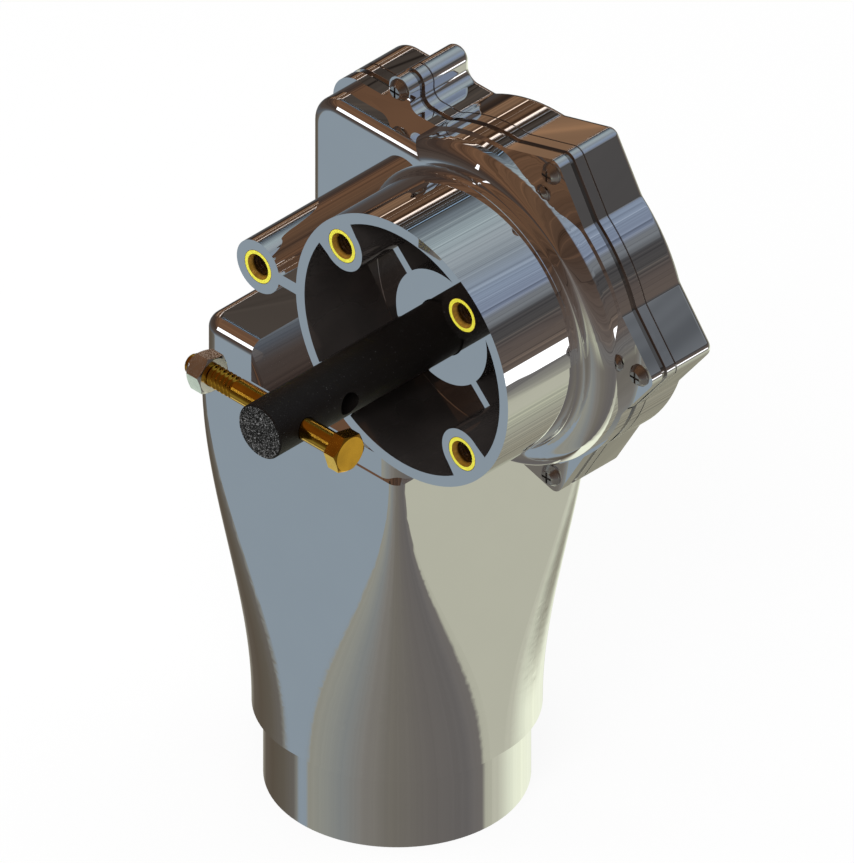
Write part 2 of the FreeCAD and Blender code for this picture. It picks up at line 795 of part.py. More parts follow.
END_PLATE_TOP = f"{BASE_BOTTOM} - housing_roof - end_plate_gap"
CAN_TOP = f"{END_PLATE_TOP} - end_plate_thickness"
CAN_BORE = "can_radius - can_wall"
CORE_RADIUS = f"{CAN_BORE} - magnet_thickness - magnet_gap"
CORE_CENTRE = f"{CAN_BOTTOM} + core_rise"
CORE_BOTTOM = f"{CORE_CENTRE} - core_length / 2"
CORE_TOP = f"{CORE_CENTRE} + core_length / 2"
COMMUTATOR_LOW = f"{CORE_TOP} + winding_height + commutator_gap"
BRUSH_MIDDLE = f"{COMMUTATOR_LOW} + commutator_length / 2"
REAR_BALL_FACE = f"{COVER_BACK} - cover_wall - rear_ball_width"
WHEEL_FACE = "motor_depth - wheel_width / 2"
WHEEL_BACK = "motor_depth + wheel_width / 2"


def ball_bearing(label, role, inner, outer, width, start, **place):
    """A shielded ball bearing, as one ring with its shields set back."""
    race = "ball_race"
    step = "shield_setback"
    turned(label, role, [
        (inner, start),
        (f"{inner} + {race}", start),
        (f"{inner} + {race}", f"{start} + {step}"),
        (f"{outer} - {race}", f"{start} + {step}"),
        (f"{outer} - {race}", start),
        (outer, start),
        (outer, f"{start} + {width}"),
        (f"{outer} - {race}", f"{start} + {width}"),
        (f"{outer} - {race}", f"{start} + {width} - {step}"),
        (f"{inner} + {race}", f"{start} + {width} - {step}"),
        (f"{inner} + {race}", f"{start} + {width}"),
        (inner, f"{start} + {width}"),
    ], **place)


def make_bearings():
    motor = {"x": MOTOR_X, "y": "motor_depth"}
    ball_bearing("rotor_bearing_lower", "XZ_Plane", "rotor_end + running_gap", "ball_outer_small",
                 "ball_width_small", f"{CAN_BOTTOM} + can_floor", **motor)
    ball_bearing("rotor_bearing_upper", "XZ_Plane", "worm_seat + running_gap", "ball_outer_large",
                 "ball_width_large", BASE_BOTTOM, **motor)
    ball_bearing("worm_bearing", "XZ_Plane", "rotor_end + running_gap", "ball_outer_small",
                 "ball_width_small", "worm_ball_z", **motor)
    ball_bearing("shaft_bearing_front", "XY_Plane", "shaft_radius + running_gap", "front_ball_outer",
                 "front_ball_width", "hub_setback + hub_lip + seal_width")
    ball_bearing("shaft_bearing_rear", "XY_Plane", "shaft_rear_radius + running_gap", "rear_ball_outer",
                 "rear_ball_width", REAR_BALL_FACE)
    start = "hub_setback + hub_lip"
    turned("shaft_seal", "XY_Plane", [
        ("shaft_radius + running_gap", start),
        ("seal_radius", start),
        ("seal_radius", f"{start} + seal_width"),
        ("seal_radius - seal_lip", f"{start} + seal_width"),
        ("seal_radius - seal_lip", f"{start} + seal_web"),
        ("shaft_radius + seal_lip", f"{start} + seal_web"),
        ("shaft_radius + running_gap", f"{start} + seal_width / 2"),
    ])


def make_motor_shell():
    """The drawn can, the upper end plate, the magnets and the housing screws."""
    motor = {"x": MOTOR_X, "y": "motor_depth"}
    turned("motor_can", "XZ_Plane", [
        ("0", CAN_BOTTOM),
        ("can_radius", CAN_BOTTOM),
        ("can_radius", CAN_TOP),
        (CAN_BORE, CAN_TOP),
        (CAN_BORE, f"{CAN_BOTTOM} + can_floor"),
        ("ball_outer_small + can_wall", f"{CAN_BOTTOM} + can_floor"),
        ("ball_outer_small + can_wall", f"{CAN_BOTTOM} + can_floor + ball_width_small"),
        ("ball_outer_small", f"{CAN_BOTTOM} + can_floor + ball_width_small"),
        ("ball_outer_small", f"{CAN_BOTTOM} + can_floor"),
        ("0", f"{CAN_BOTTOM} + can_floor"),
    ], **motor)
    turned("motor_end_plate", "XZ_Plane", [
        ("rotor_radius + 2", CAN_TOP),
        ("can_radius", CAN_TOP),
        ("can_radius", END_PLATE_TOP),
        ("can_radius * 0.5", END_PLATE_TOP),
        ("can_radius * 0.5", f"{BASE_BOTTOM} - housing_roof"),
        ("rotor_radius + 2", f"{BASE_BOTTOM} - housing_roof"),
    ], **motor)
    magnets = body("magnets", **motor)
    for turn in ("0", "180"):
        flat = sketch(magnets, "XY_Plane", f"{CORE_CENTRE} - magnet_length / 2", turn)
        half = "(magnet_angle / 2)"
        outer = f"({CAN_BORE})"
        inner = f"({CAN_BORE} - magnet_thickness)"
        polygon(flat, [
            (f"{outer} * cos({half})", f"-1 * {outer} * sin({half})"),
            (outer, "0", outer, 1),
            (f"{outer} * cos({half})", f"{outer} * sin({half})", outer, 1),
            (f"{inner} * cos({half})", f"{inner} * sin({half})"),
            (inner, "0", inner, -1),
            (f"{inner} * cos({half})", f"-1 * {inner} * sin({half})", inner, -1),
        ])
        pad(magnets, flat, "magnet_length")
    screws = body("housing_screws", **motor)
    head = sketch(screws, "XY_Plane", f"{BASE_BOTTOM} - housing_roof - housing_screw_head_height")
    housing_screw_circles(head, "housing_screw_head", "0", "0")
    pad(screws, head, "housing_screw_head_height")
    shank = sketch(screws, "XY_Plane", f"{BASE_BOTTOM} - housing_roof - 1")
    housing_screw_circles(shank, "screw_radius", "0", "0")
    pad(screws, shank, "housing_roof + base_thickness - housing_screw_floor")


def make_rotor():
    """Rotor shaft, laminated core, windings and commutator, all turning with the worm."""
    motor = {"x": MOTOR_X, "y": "motor_depth"}
    turned("rotor_shaft", "XZ_Plane", [
        ("0", f"{CAN_BOTTOM} + can_floor + shaft_end_gap"),
        ("rotor_end", f"{CAN_BOTTOM} + can_floor + shaft_end_gap"),
        ("rotor_end", f"{CAN_BOTTOM} + can_floor + ball_width_small + shaft_end_gap"),
        ("rotor_radius", f"{CAN_BOTTOM} + can_floor + ball_width_small + shaft_end_gap"),
        ("rotor_radius", f"{BASE_BOTTOM} - shaft_end_gap"),
        ("worm_seat", f"{BASE_BOTTOM} - shaft_end_gap"),
        ("worm_seat", "worm_ball_z - shaft_end_gap"),
        ("rotor_end", "worm_ball_z - shaft_end_gap"),
        ("rotor_end", "worm_ball_z + ball_width_small"),
        ("0", "worm_ball_z + ball_width_small"),
    ], **motor)
    core = body("armature_core", **motor)
    disc = sketch(core, "XY_Plane", CORE_BOTTOM)
    circle(disc, CORE_RADIUS)
    circle(disc, "rotor_radius")
    pad(core, disc, "core_length")
    slot = sketch(core, "XY_Plane", CORE_BOTTOM)
    rectangle(slot, f"{CORE_RADIUS} - core_slot_depth", f"{CORE_RADIUS} + magnet_gap",
              "-1 * core_slot / 2", "core_slot / 2")
    groove = cut(core, slot, "core_length + 1")
    pattern(core, [groove], "core_slots", "Z_Axis")
    coils = body("armature_windings", **motor)
    ring = sketch(coils, "XZ_Plane")
    rise = "winding_height"
    inner = "rotor_radius + winding_round"
    wide = f"{CORE_RADIUS} - winding_setback"
    narrow = f"{CORE_RADIUS} - winding_setback - winding_round"
    for near_end, far_end in ((CORE_TOP, f"{CORE_TOP} + {rise}"), (CORE_BOTTOM, f"{CORE_BOTTOM} - {rise}")):
        polygon(ring, [
            (inner, near_end),
            (wide, near_end),
            (wide, f"({near_end} + {far_end}) / 2"),
            (narrow, far_end),
            (inner, far_end),
        ])
    revolve(coils, ring)
    bar = sketch(coils, "XY_Plane", f"{CORE_BOTTOM} - 1")
    rectangle(bar, f"{CORE_RADIUS} - core_slot_depth", f"{CORE_RADIUS} - winding_setback",
              "-1 * core_slot / 2", "core_slot / 2")
    bars = pad(coils, bar, "core_length + 2")
    pattern(coils, [bars], "core_slots", "Z_Axis")
    contact = body("commutator", **motor)
    drum = sketch(contact, "XY_Plane", COMMUTATOR_LOW)
    circle(drum, "commutator_radius")
    circle(drum, "rotor_radius")
    pad(contact, drum, "commutator_length")
    nick = sketch(contact, "XY_Plane", COMMUTATOR_LOW)
    rectangle(nick, "commutator_radius - 1", "commutator_radius + 1", "-0.4", "0.4")
    nicks = cut(contact, nick, "commutator_length + 1")
    pattern(contact, [nicks], "core_slots", "Z_Axis")


def make_brushes():
    """Brush holder, two carbon brushes and the springs behind them."""
    motor = {"x": MOTOR_X, "y": "motor_depth"}
    holder = body("brush_holder", **motor)
    ring = sketch(holder, "XY_Plane", f"{CAN_TOP} - holder_thickness")
    circle(ring, f"{CAN_BORE} - housing_gap")
    circle(ring, "commutator_radius + 1")
    pad(holder, ring, "holder_thickness")
    low = f"({BRUSH_MIDDLE} - brush_height / 2 - holder_wall)"
    block = sketch(holder, "XY_Plane", low)
    start = "(commutator_radius + holder_wall)"
    for side in ("-1", "1"):
        rectangle(block, f"{side} * {start}", f"{side} * ({start} + holder_reach)",
                  "-1 * (brush_width / 2 + holder_wall)", "brush_width / 2 + holder_wall")
    pad(holder, block, f"{CAN_TOP} - holder_thickness / 2 - {low}")
    reach = f"({start} + holder_reach - holder_wall)"
    channel = sketch(holder, "YZ_Plane", f"-1 * {reach}")
    rectangle(channel, "-1 * (brush_width / 2 + brush_play)", "brush_width / 2 + brush_play",
              f"{BRUSH_MIDDLE} - brush_height / 2 - brush_play",
              f"{BRUSH_MIDDLE} + brush_height / 2 + brush_play")
    cut(holder, channel, f"2 * {reach}")
    brushes = body("carbon_brushes", **motor)
    face = sketch(brushes, "XY_Plane", f"{BRUSH_MIDDLE} - brush_height / 2")
    tip = "(commutator_radius + housing_gap)"
    for side in ("-1", "1"):
        rectangle(face, f"{side} * {tip}", f"{side} * ({tip} + brush_length)",
                  "-1 * brush_width / 2", "brush_width / 2")
    pad(brushes, face, "brush_height")
    springs = body("brush_springs", z=BRUSH_MIDDLE, **motor)
    wire = sketch(springs, "XZ_Plane")
    circle(wire, "spring_wire", f"{tip} + brush_length + spring_wire", "spring_radius")
    coil = springs.newObject("PartDesign::AdditiveHelix", "coil")
    coil.Profile = wire
    coil.ReferenceAxis = (wire, ["H_Axis"])
    coil.Mode = "height-turns-angle"
    coil.setExpression("Height", bound(f"{reach} - {tip} - brush_length - spring_wire * 2"))
    coil.setExpression("Turns", bound("spring_turns"))
    pattern(springs, [coil], "2", "Z_Axis")


def make_shaft():
    """Output shaft with its cross holes, keyway and ring grooves."""
    made = turned("output_shaft", "XY_Plane", [
        ("0", "-1 * shaft_reach"),
        ("shaft_radius - shaft_chamfer", "-1 * shaft_reach"),
        ("shaft_radius", "shaft_chamfer - shaft_reach"),
        ("shaft_radius", f"{WHEEL_FACE} - clip_thickness"),
        ("shaft_radius - clip_groove", f"{WHEEL_FACE} - clip_thickness"),
        ("shaft_radius - clip_groove", WHEEL_FACE),
        ("shaft_radius", WHEEL_FACE),
        ("shaft_radius", WHEEL_BACK),
        ("shaft_radius - clip_groove", WHEEL_BACK),
        ("shaft_radius - clip_groove", f"{WHEEL_BACK} + clip_thickness"),
        ("shaft_radius", f"{WHEEL_BACK} + clip_thickness"),
        ("shaft_radius", f"{REAR_BALL_FACE} - shaft_end_gap"),
        ("shaft_rear_radius", f"{REAR_BALL_FACE} - shaft_end_gap"),
        ("shaft_rear_radius", f"{COVER_BACK} - cover_wall - shaft_end_gap"),
        ("0", f"{COVER_BACK} - cover_wall - shaft_end_gap"),
    ])
    holes = sketch(made, "YZ_Plane", "-1 * shaft_radius - 1")
    circle(holes, "hole_radius", "-1 * outer_hole")
    circle(holes, "hole_radius", "-1 * inner_hole")
    cut(made, holes, "2 * shaft_radius + 2")
    way = sketch(made, "XY_Plane", "shaft_radius - key_depth")
    rectangle(way, "-1 * key_width / 2", "key_width / 2", WHEEL_FACE, WHEEL_BACK)
    cut(made, way, "shaft_radius")
    key = body("wheel_key")
    flat = sketch(key, "XY_Plane", "shaft_radius - key_depth")
    rectangle(flat, "-1 * key_width / 2", "key_width / 2", WHEEL_FACE, WHEEL_BACK)
    pad(key, flat, "key_height")
    rings = body("retaining_rings")
    for station in (f"{WHEEL_FACE} - clip_thickness", WHEEL_BACK):
        flat = sketch(rings, "XZ_Plane", station)
        circle(flat, "shaft_radius + clip_width")
        circle(flat, "shaft_radius - clip_groove")
        pad(rings, flat, "clip_thickness")


def hexagon(flat, flats):
    """A hexagon across its flats, with two corners up and down."""
    corner = f"({flats} / sqrt(3))"
    polygon(flat, [(f"{corner} * cos({60 * k + 30})", f"{corner} * sin({60 * k + 30})") for k in range(6)])


def make_bolt():
    """Hexagon bolt across the shaft's outer hole, and its lock nut."""
    place = {"y": "-1 * outer_hole"}
    bolt = body("drive_bolt", **place)
    rod = sketch(bolt, "YZ_Plane", "bolt_tip")
    circle(rod, "bolt_radius")
    pad(bolt, rod, "bolt_length + bolt_head_height / 2")
    smooth(bolt, "bolt_radius / 5", lambda edge: is_ring(
        edge, size("bolt_radius"), size("bolt_tip"), "x"), "PartDesign::Chamfer")
    head = sketch(bolt, "YZ_Plane", "bolt_tip + bolt_length")
    hexagon(head, "bolt_head_flats")
    pad(bolt, head, "bolt_head_height")
    hex_bevel(bolt, "bolt_tip + bolt_length + bolt_head_height", "-1")
    nut = body("lock_nut", **place)
    block = sketch(nut, "YZ_Plane", "nut_place - nut_height")
    hexagon(block, "bolt_head_flats")
    pad(nut, block, "nut_height")
    hex_bevel(nut, "nut_place", "-1")
    hex_bevel(nut, "nut_place - nut_height", "1")
    collar = sketch(nut, "YZ_Plane", "nut_place - nut_height - nut_collar")
    circle(collar, "bolt_head_flats / 2 - nut_collar_inset")
    pad(nut, collar, "nut_collar + nut_height / 4")
    bore = sketch(nut, "YZ_Plane", "nut_place - nut_height - nut_collar")
    circle(bore, "bolt_radius")
    cut(nut, bore, "nut_height + nut_collar")


def hex_bevel(piece, station, side):
    """Turn the corners of a hexagon off at one end."""
    flat = sketch(piece, "XY_Plane")
    polygon(flat, [
        (station, "bolt_head_flats / 2 * hex_bevel_share"),
        (station, "bolt_head_flats"),
        (f"{station} + {side} * bolt_head_flats * 0.3", "bolt_head_flats"),
    ])
    made = piece.newObject("PartDesign::Groove", "bevel")
    made.Profile = flat
    made.ReferenceAxis = (flat, ["H_Axis"])
    made.Angle = 360.0


def involute(angle):
    return math.tan(angle) - angle


def wheel_section(station, turn):
    """The toothed outline of the wheel at one station, turned about the shaft."""
    module = size("gear_module")
    teeth = int(size("wheel_teeth"))
    pitch = module * teeth / 2
    pressure = math.radians(size("pressure_angle"))
    base = pitch * math.cos(pressure)
    root = pitch - 1.25 * module
    levels = [max(root, base), pitch - 0.6 * module, pitch, pitch + 0.5 * module, pitch + module]
    half = []
    for radius in levels:
        lean = involute(pressure) - involute(math.acos(min(base / radius, 1)))
        half.append((radius, math.pi / 2 / teeth + lean))
    half[0] = (root, half[0][1])
    outline = [(radius, -spread) for radius, spread in half]
    outline += [(radius, spread) for radius, spread in reversed(half)]
    points = []
    for tooth in range(teeth):
        middle = math.pi + math.tau * (tooth + 0.5) / teeth + turn
        for radius, spread in outline:
            angle = middle + spread
            points.append(Vector(radius * math.cos(angle), station, radius * math.sin(angle)))
    return Part.makePolygon(points + points[:1])


def make_gears():
    """The bronze wheel and the steel worm, cut by their own formulas."""
    module = size("gear_module")
    pitch = module * size("wheel_teeth") / 2
    worm_pitch = size("centre_distance") - pitch
    lead = math.pi * module
    half_width = size("wheel_width") / 2
    middle = size("motor_depth")
    slope = lead / (math.tau * worm_pitch)
    twist = slope * half_width / pitch
    blank = Part.makeLoft([wheel_section(middle - half_width, twist),
                           wheel_section(middle + half_width, -twist)], True, True)
    along = Vector(0, 1, 0)
    front = Vector(0, middle - half_width, 0)
    recess = half_width - size("wheel_web") / 2
    rim = pitch - 3.5 * module
    for start in (front, Vector(0, middle + size("wheel_web") / 2, 0)):
        ring = Part.makeCylinder(rim, recess, start, along)
        blank = blank.cut(ring.cut(Part.makeCylinder(size("wheel_hub_radius"), recess, start, along)))
    blank = blank.cut(Part.makeCylinder(size("shaft_radius"), 2 * half_width, front, along))
    way_top = size("shaft_radius") - size("key_depth") + size("key_height") + 0.2
    way = Part.makeBox(size("key_width"), 2 * half_width, way_top, Vector(-size("key_width") / 2, front.y, 0))
    wheel = doc.addObject("Part::Feature", "worm_wheel")
    wheel.Shape = blank.cut(way)

    tip = worm_pitch + module
    root = worm_pitch - 1.25 * module
    half_tooth = lead / 4 - size("mesh_backlash") / 2
    lean = math.tan(math.radians(size("pressure_angle")))
    inner = root - size("mesh_backlash")
    turns = int(size("worm_length") / lead)
    start = -turns * lead / 2
    profile = Part.makePolygon([
        Vector(inner, 0, start - half_tooth - lean * (worm_pitch - inner)),
        Vector(tip, 0, start - half_tooth + lean * module),
        Vector(tip, 0, start + half_tooth - lean * module),
        Vector(inner, 0, start + half_tooth + lean * (worm_pitch - inner)),
        Vector(inner, 0, start - half_tooth - lean * (worm_pitch - inner)),
    ])
    helix = Part.makeHelix(lead, turns * lead, worm_pitch)
    helix.translate(Vector(0, 0, start))
    thread = Part.Wire(helix).makePipeShell([profile], True, True)
    length = size("worm_length") + lead
    core = Part.makeCylinder(root, length, Vector(0, 0, -length / 2))
    screw = core.fuse(thread)
    screw = screw.cut(Part.makeCylinder(size("worm_seat"), length, Vector(0, 0, -length / 2)))
    worm = doc.addObject("Part::Feature", "worm")
    worm.Shape = screw
    worm.Placement = Placement(Vector(-size("centre_distance"), middle, 0), Rotation())
    PIECES.extend([wheel, worm])


make_gear_case()
make_flat_layers()
make_rear_cover()
make_cover_screws()
make_inserts()
make_housing()
make_motor_shell()
make_bearings()
make_rotor()
make_brushes()
make_shaft()
make_gears()
make_bolt()

doc.recompute()

os.makedirs("parts", exist_ok=True)
for item in doc.Objects:
    if "Invalid" in item.State or "Error" in item.State:
        raise RuntimeError(f"{item.Label} failed: {item.State}")
for item in PIECES:
    if item.Shape.isNull() or not item.Shape.isValid():
        raise RuntimeError(f"{item.Label} has no valid shape")
    item.Shape.exportStep(f"parts/{item.Label}.step")
    print(item.Label, round(item.Shape.Volume), len(item.Shape.Solids))
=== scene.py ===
import math

import bpy
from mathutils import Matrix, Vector


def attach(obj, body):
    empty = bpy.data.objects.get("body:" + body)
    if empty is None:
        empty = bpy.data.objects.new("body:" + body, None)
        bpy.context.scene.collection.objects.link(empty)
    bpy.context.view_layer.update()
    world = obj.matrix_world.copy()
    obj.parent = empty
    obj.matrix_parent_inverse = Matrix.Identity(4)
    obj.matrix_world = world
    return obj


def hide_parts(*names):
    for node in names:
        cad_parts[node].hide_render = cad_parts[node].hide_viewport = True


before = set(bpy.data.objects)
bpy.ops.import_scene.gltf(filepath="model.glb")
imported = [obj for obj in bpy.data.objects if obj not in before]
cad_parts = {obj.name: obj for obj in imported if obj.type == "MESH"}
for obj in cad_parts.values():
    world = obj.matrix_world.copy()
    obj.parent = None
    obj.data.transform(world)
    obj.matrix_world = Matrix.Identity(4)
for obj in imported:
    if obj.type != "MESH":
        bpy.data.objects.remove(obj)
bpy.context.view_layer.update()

# Lengths below are millimetres in the part's frame: +X right, +Y back, +Z up.
MM = 0.001

# Threaded inserts in the barrel and the side boss
INSERT_CIRCLE = 40.0
INSERT_ANGLES = (45, 135, 225, 315)
SIDE_BOSS_X = -67.9
INSERT_R = 6.3
INSERT_BORE = 3.7
INSERT_DEPTH = 16.0
INSERT_EDGE = 0.2
INSERT_MOUTH = 1.1
INSERT_LEAD = 1.5
INSERT_BREAK = 0.1
THREAD_PITCH = 1.25
THREAD_DEPTH = 0.55
THREAD_START = 2.4
THREAD_END_GAP = 0.6
# The bore's colour darkens between these depths: painted shade
BORE_SHADE = (0.8, 2.0)

# Cover screws
FLANGE_Y = 45.7
LOBE_ANGLES = (-68.1, 0.0, 68.1)
TOP_FINGER = (-46.8, 60.0)
LEFT_FINGER = (-82.5, -8.0)
SCREW_CIRCLE = 66.3
SCREW_HEAD_R = 4.0
SCREW_HEAD_H = 2.4
SCREW_FLAT_R = 1.2
SCREW_DOME_BACK = 0.9
SCREW_DOME_ANGLES = (-90, -36)
SCREW_RIM = 0.5
SCREW_EDGE = 0.2
SCREW_R = 2.0
SCREW_LENGTH = 24.0
SCREW_POINT = 1.0
CROSS_REACH = 2.2
CROSS_HALF_WIDTH = 0.42
CROSS_DEPTH = 1.3

# Bolt and nut across the shaft
BOLT_Y = -54.7
BOLT_R = 4.0
BOLT_TIP = -44.7
BOLT_TIP_TAPER = 0.9
BOLT_THREAD_END = -22.5
BOLT_HEAD = (25.0, 30.3)
BOLT_PITCH = 1.9
BOLT_THREAD_DEPTH = 0.75
BOLT_THREAD_FADE = 0.5
BOLT_THREAD_STEPS = 20
BOLT_EASE = 0.02
BOLT_SINK = 0.5
FLATS = 13.0
HEX_TURN = 47.0
HEX_FACE_SHARE = 0.96
HEX_SLOPE = 0.55
NUT = (-40.4, -34.0)
NUT_GAP = 0.05
NUT_COLLAR_END = -42.0
NUT_COLLAR_R = 5.5
NUT_COLLAR_EDGE = 0.5
NUT_COLLAR_SINK = 0.6

# The walls inside the barrel lie within this radius and between these depths; shade is painted on them
BARREL_BORE = 46.1
BARREL_WALLS = (0.05, 34.3)

# The shaft's sawn end lies just beyond this plane
SHAFT_TIP = -67.0

# The floor's height, the camera's target, and the picture's scale and height in pixels
FLOOR_Z = -222.3
CAMERA_TARGET = (5.893, 5.893, -33.27)
PIXELS_PER_MM = 3
IMAGE_HEIGHT = 863

# Sizes of the studio, in metres
CAMERA_DISTANCE = 1.2
CAMERA_REACH = 20.0
FLOOR_WIDTH = 8.0
SURROUND_RADIUS = 25.0
LAMP_TARGET = (0, 0, -0.08)
# Name, place, power in watts and width of each lamp
LAMPS = [("key", (0.5, -0.9, 1.1), 14.0, 0.8), ("fill", (-1.0, -0.6, 0.6), 6.0, 0.9),
         ("back", (0.5, 1.0, 0.9), 6.0, 0.9)]

# Strength of the world's light on the object, and how far the floor fades into the background
WORLD_LIGHT = 0.55
FLOOR_FADE = 0.88


def arc(centre, radius, start, end, count):
    """Points along an arc, angles in degrees, both ends included."""
    points = []
    for k in range(count + 1):
        angle = math.radians(start + (end - start) * k / count)
        points.append((centre[0] + radius * math.cos(angle), centre[1] + radius * math.sin(angle)))
    return points


def select_only(made):
    """Make an object the active one, and the only one selected."""
    bpy.context.view_layer.objects.active = made
    bpy.ops.object.select_all(action="DESELECT")
    made.select_set(True)


def build(name, points, faces):
    """A mesh object from millimetre points."""
    mesh = bpy.data.meshes.new(name)
    mesh.from_pydata([Vector(p) * MM for p in points], [], faces)
    mesh.validate()
    made = bpy.data.objects.new(name, mesh)
    bpy.context.scene.collection.objects.link(made)
    return made


def flip_outwards(made):
    """Turn every face's normal outwards."""
    select_only(made)
    bpy.ops.object.mode_set(mode="EDIT")
    bpy.ops.mesh.select_all(action="SELECT")
    bpy.ops.mesh.normals_make_consistent(inside=False)
    bpy.ops.object.mode_set(mode="OBJECT")


def weld(made):
    """Merge points that fall together on the axis."""
    select_only(made)
    bpy.ops.object.mode_set(mode="EDIT")
    bpy.ops.mesh.select_all(action="SELECT")
    bpy.ops.mesh.remove_doubles(threshold=1e-6)
    bpy.ops.mesh.delete_loose()
    bpy.ops.object.mode_set(mode="OBJECT")


def skin(name, rings):
    """A closed surface through rings of points, with flat ends."""
    width = len(rings[0])
    points = [p for ring in rings for p in ring]
    faces = []
    for k in range(len(rings) - 1):
        for n in range(width):
            after = (n + 1) % width
            faces.append((k * width + n, k * width + after, (k + 1) * width + after, (k + 1) * width + n))
    faces.append(tuple(reversed(range(width))))
    faces.append(tuple(range((len(rings) - 1) * width, len(rings) * width)))
    made = build(name, points, faces)
    flip_outwards(made)
    return made


def lathe(name, profile, axis="y", centre=(0, 0), count=160):
    """A closed (radius, station) profile turned about an axis."""
    points = []
    for k in range(count):
        angle = math.tau * k / count
        for radius, station in profile:
            across = centre[0] + radius * math.cos(angle)
            up = centre[1] + radius * math.sin(angle)
            places = {"x": (station, across, up), "y": (across, station, up), "z": (across, up, station)}
            points.append(places[axis])
    width = len(profile)
    faces = []
    for k in range(count):
        following = (k + 1) % count
        for n in range(width):
            after = (n + 1) % width
            faces.append((k * width + n, following * width + n, following * width + after, k * width + after))
    made = build(name, points, faces)
    weld(made)
    flip_outwards(made)
    return made


def rod(name, radius, low, high, axis="y", centre=(0, 0), edge=0.3, count=96):
    """A plain round rod with a small bevel at both ends."""
    near_end = [(0, low), (radius - edge, low), (radius, low + edge)]
    far_end = [(radius, high - edge), (radius - edge, high), (0, high)]
    return lathe(name, near_end + far_end, axis, centre, count)


def block(name, x, y, z):
    """A plain block between pairs of limits."""
    points = [(x[i], y[j], z[k]) for i in (0, 1) for j in (0, 1) for k in (0, 1)]
    faces = [(0, 1, 3, 2), (4, 6, 7, 5), (0, 4, 5, 1), (2, 3, 7, 6), (0, 2, 6, 4), (1, 5, 7, 3)]
    made = build(name, points, faces)
    flip_outwards(made)
    return made


def combine(base, tools, operation):
    """Cut each of the tools from the base, or keep what they share; the tools are then deleted."""
    for tool in tools:
        step = base.modifiers.new("step", "BOOLEAN")
        step.operation = operation
        step.solver = "EXACT"
        step.object = tool
        scene_graph = bpy.context.evaluated_depsgraph_get()
        mesh = bpy.data.meshes.new_from_object(base.evaluated_get(scene_graph))
        base.modifiers.clear()
        base.data = mesh
        bpy.data.objects.remove(tool)
    return base


def finish_surface(made, angle=32.0):
    """Smooth shading that keeps flats flat and sharp edges sharp."""
    select_only(made)
    bpy.ops.object.shade_smooth_by_angle(angle=math.radians(angle))
    weighted = made.modifiers.new("flats", "WEIGHTED_NORMAL")
    weighted.mode = "FACE_AREA_WITH_ANGLE"
    weighted.weight = 90
    weighted.keep_sharp = True


def place(made, body, material, slot, *nodes):
    """Give a piece its body and its material, and hide the CAD nodes it stands for."""
    made.data.materials.clear()
    made.data.materials.append(material)
    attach(made, body)
    if nodes:
        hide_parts(*nodes)


def linear(red, green, blue):
    """A linear colour from display values, where 255 is white."""
    values = []
    for value in (red, green, blue):
        share = value / 255
        values.append(share / 12.92 if share <= 0.04045 else ((share + 0.055) / 1.055) ** 2.4)
    return (*values, 1.0)


def grey(value):
    """A linear grey."""
    return (value, value, value, 1.0)


def scaled(color, share):
    """A colour made darker by a share."""
    return (*(channel * share for channel in color[:3]), 1.0)


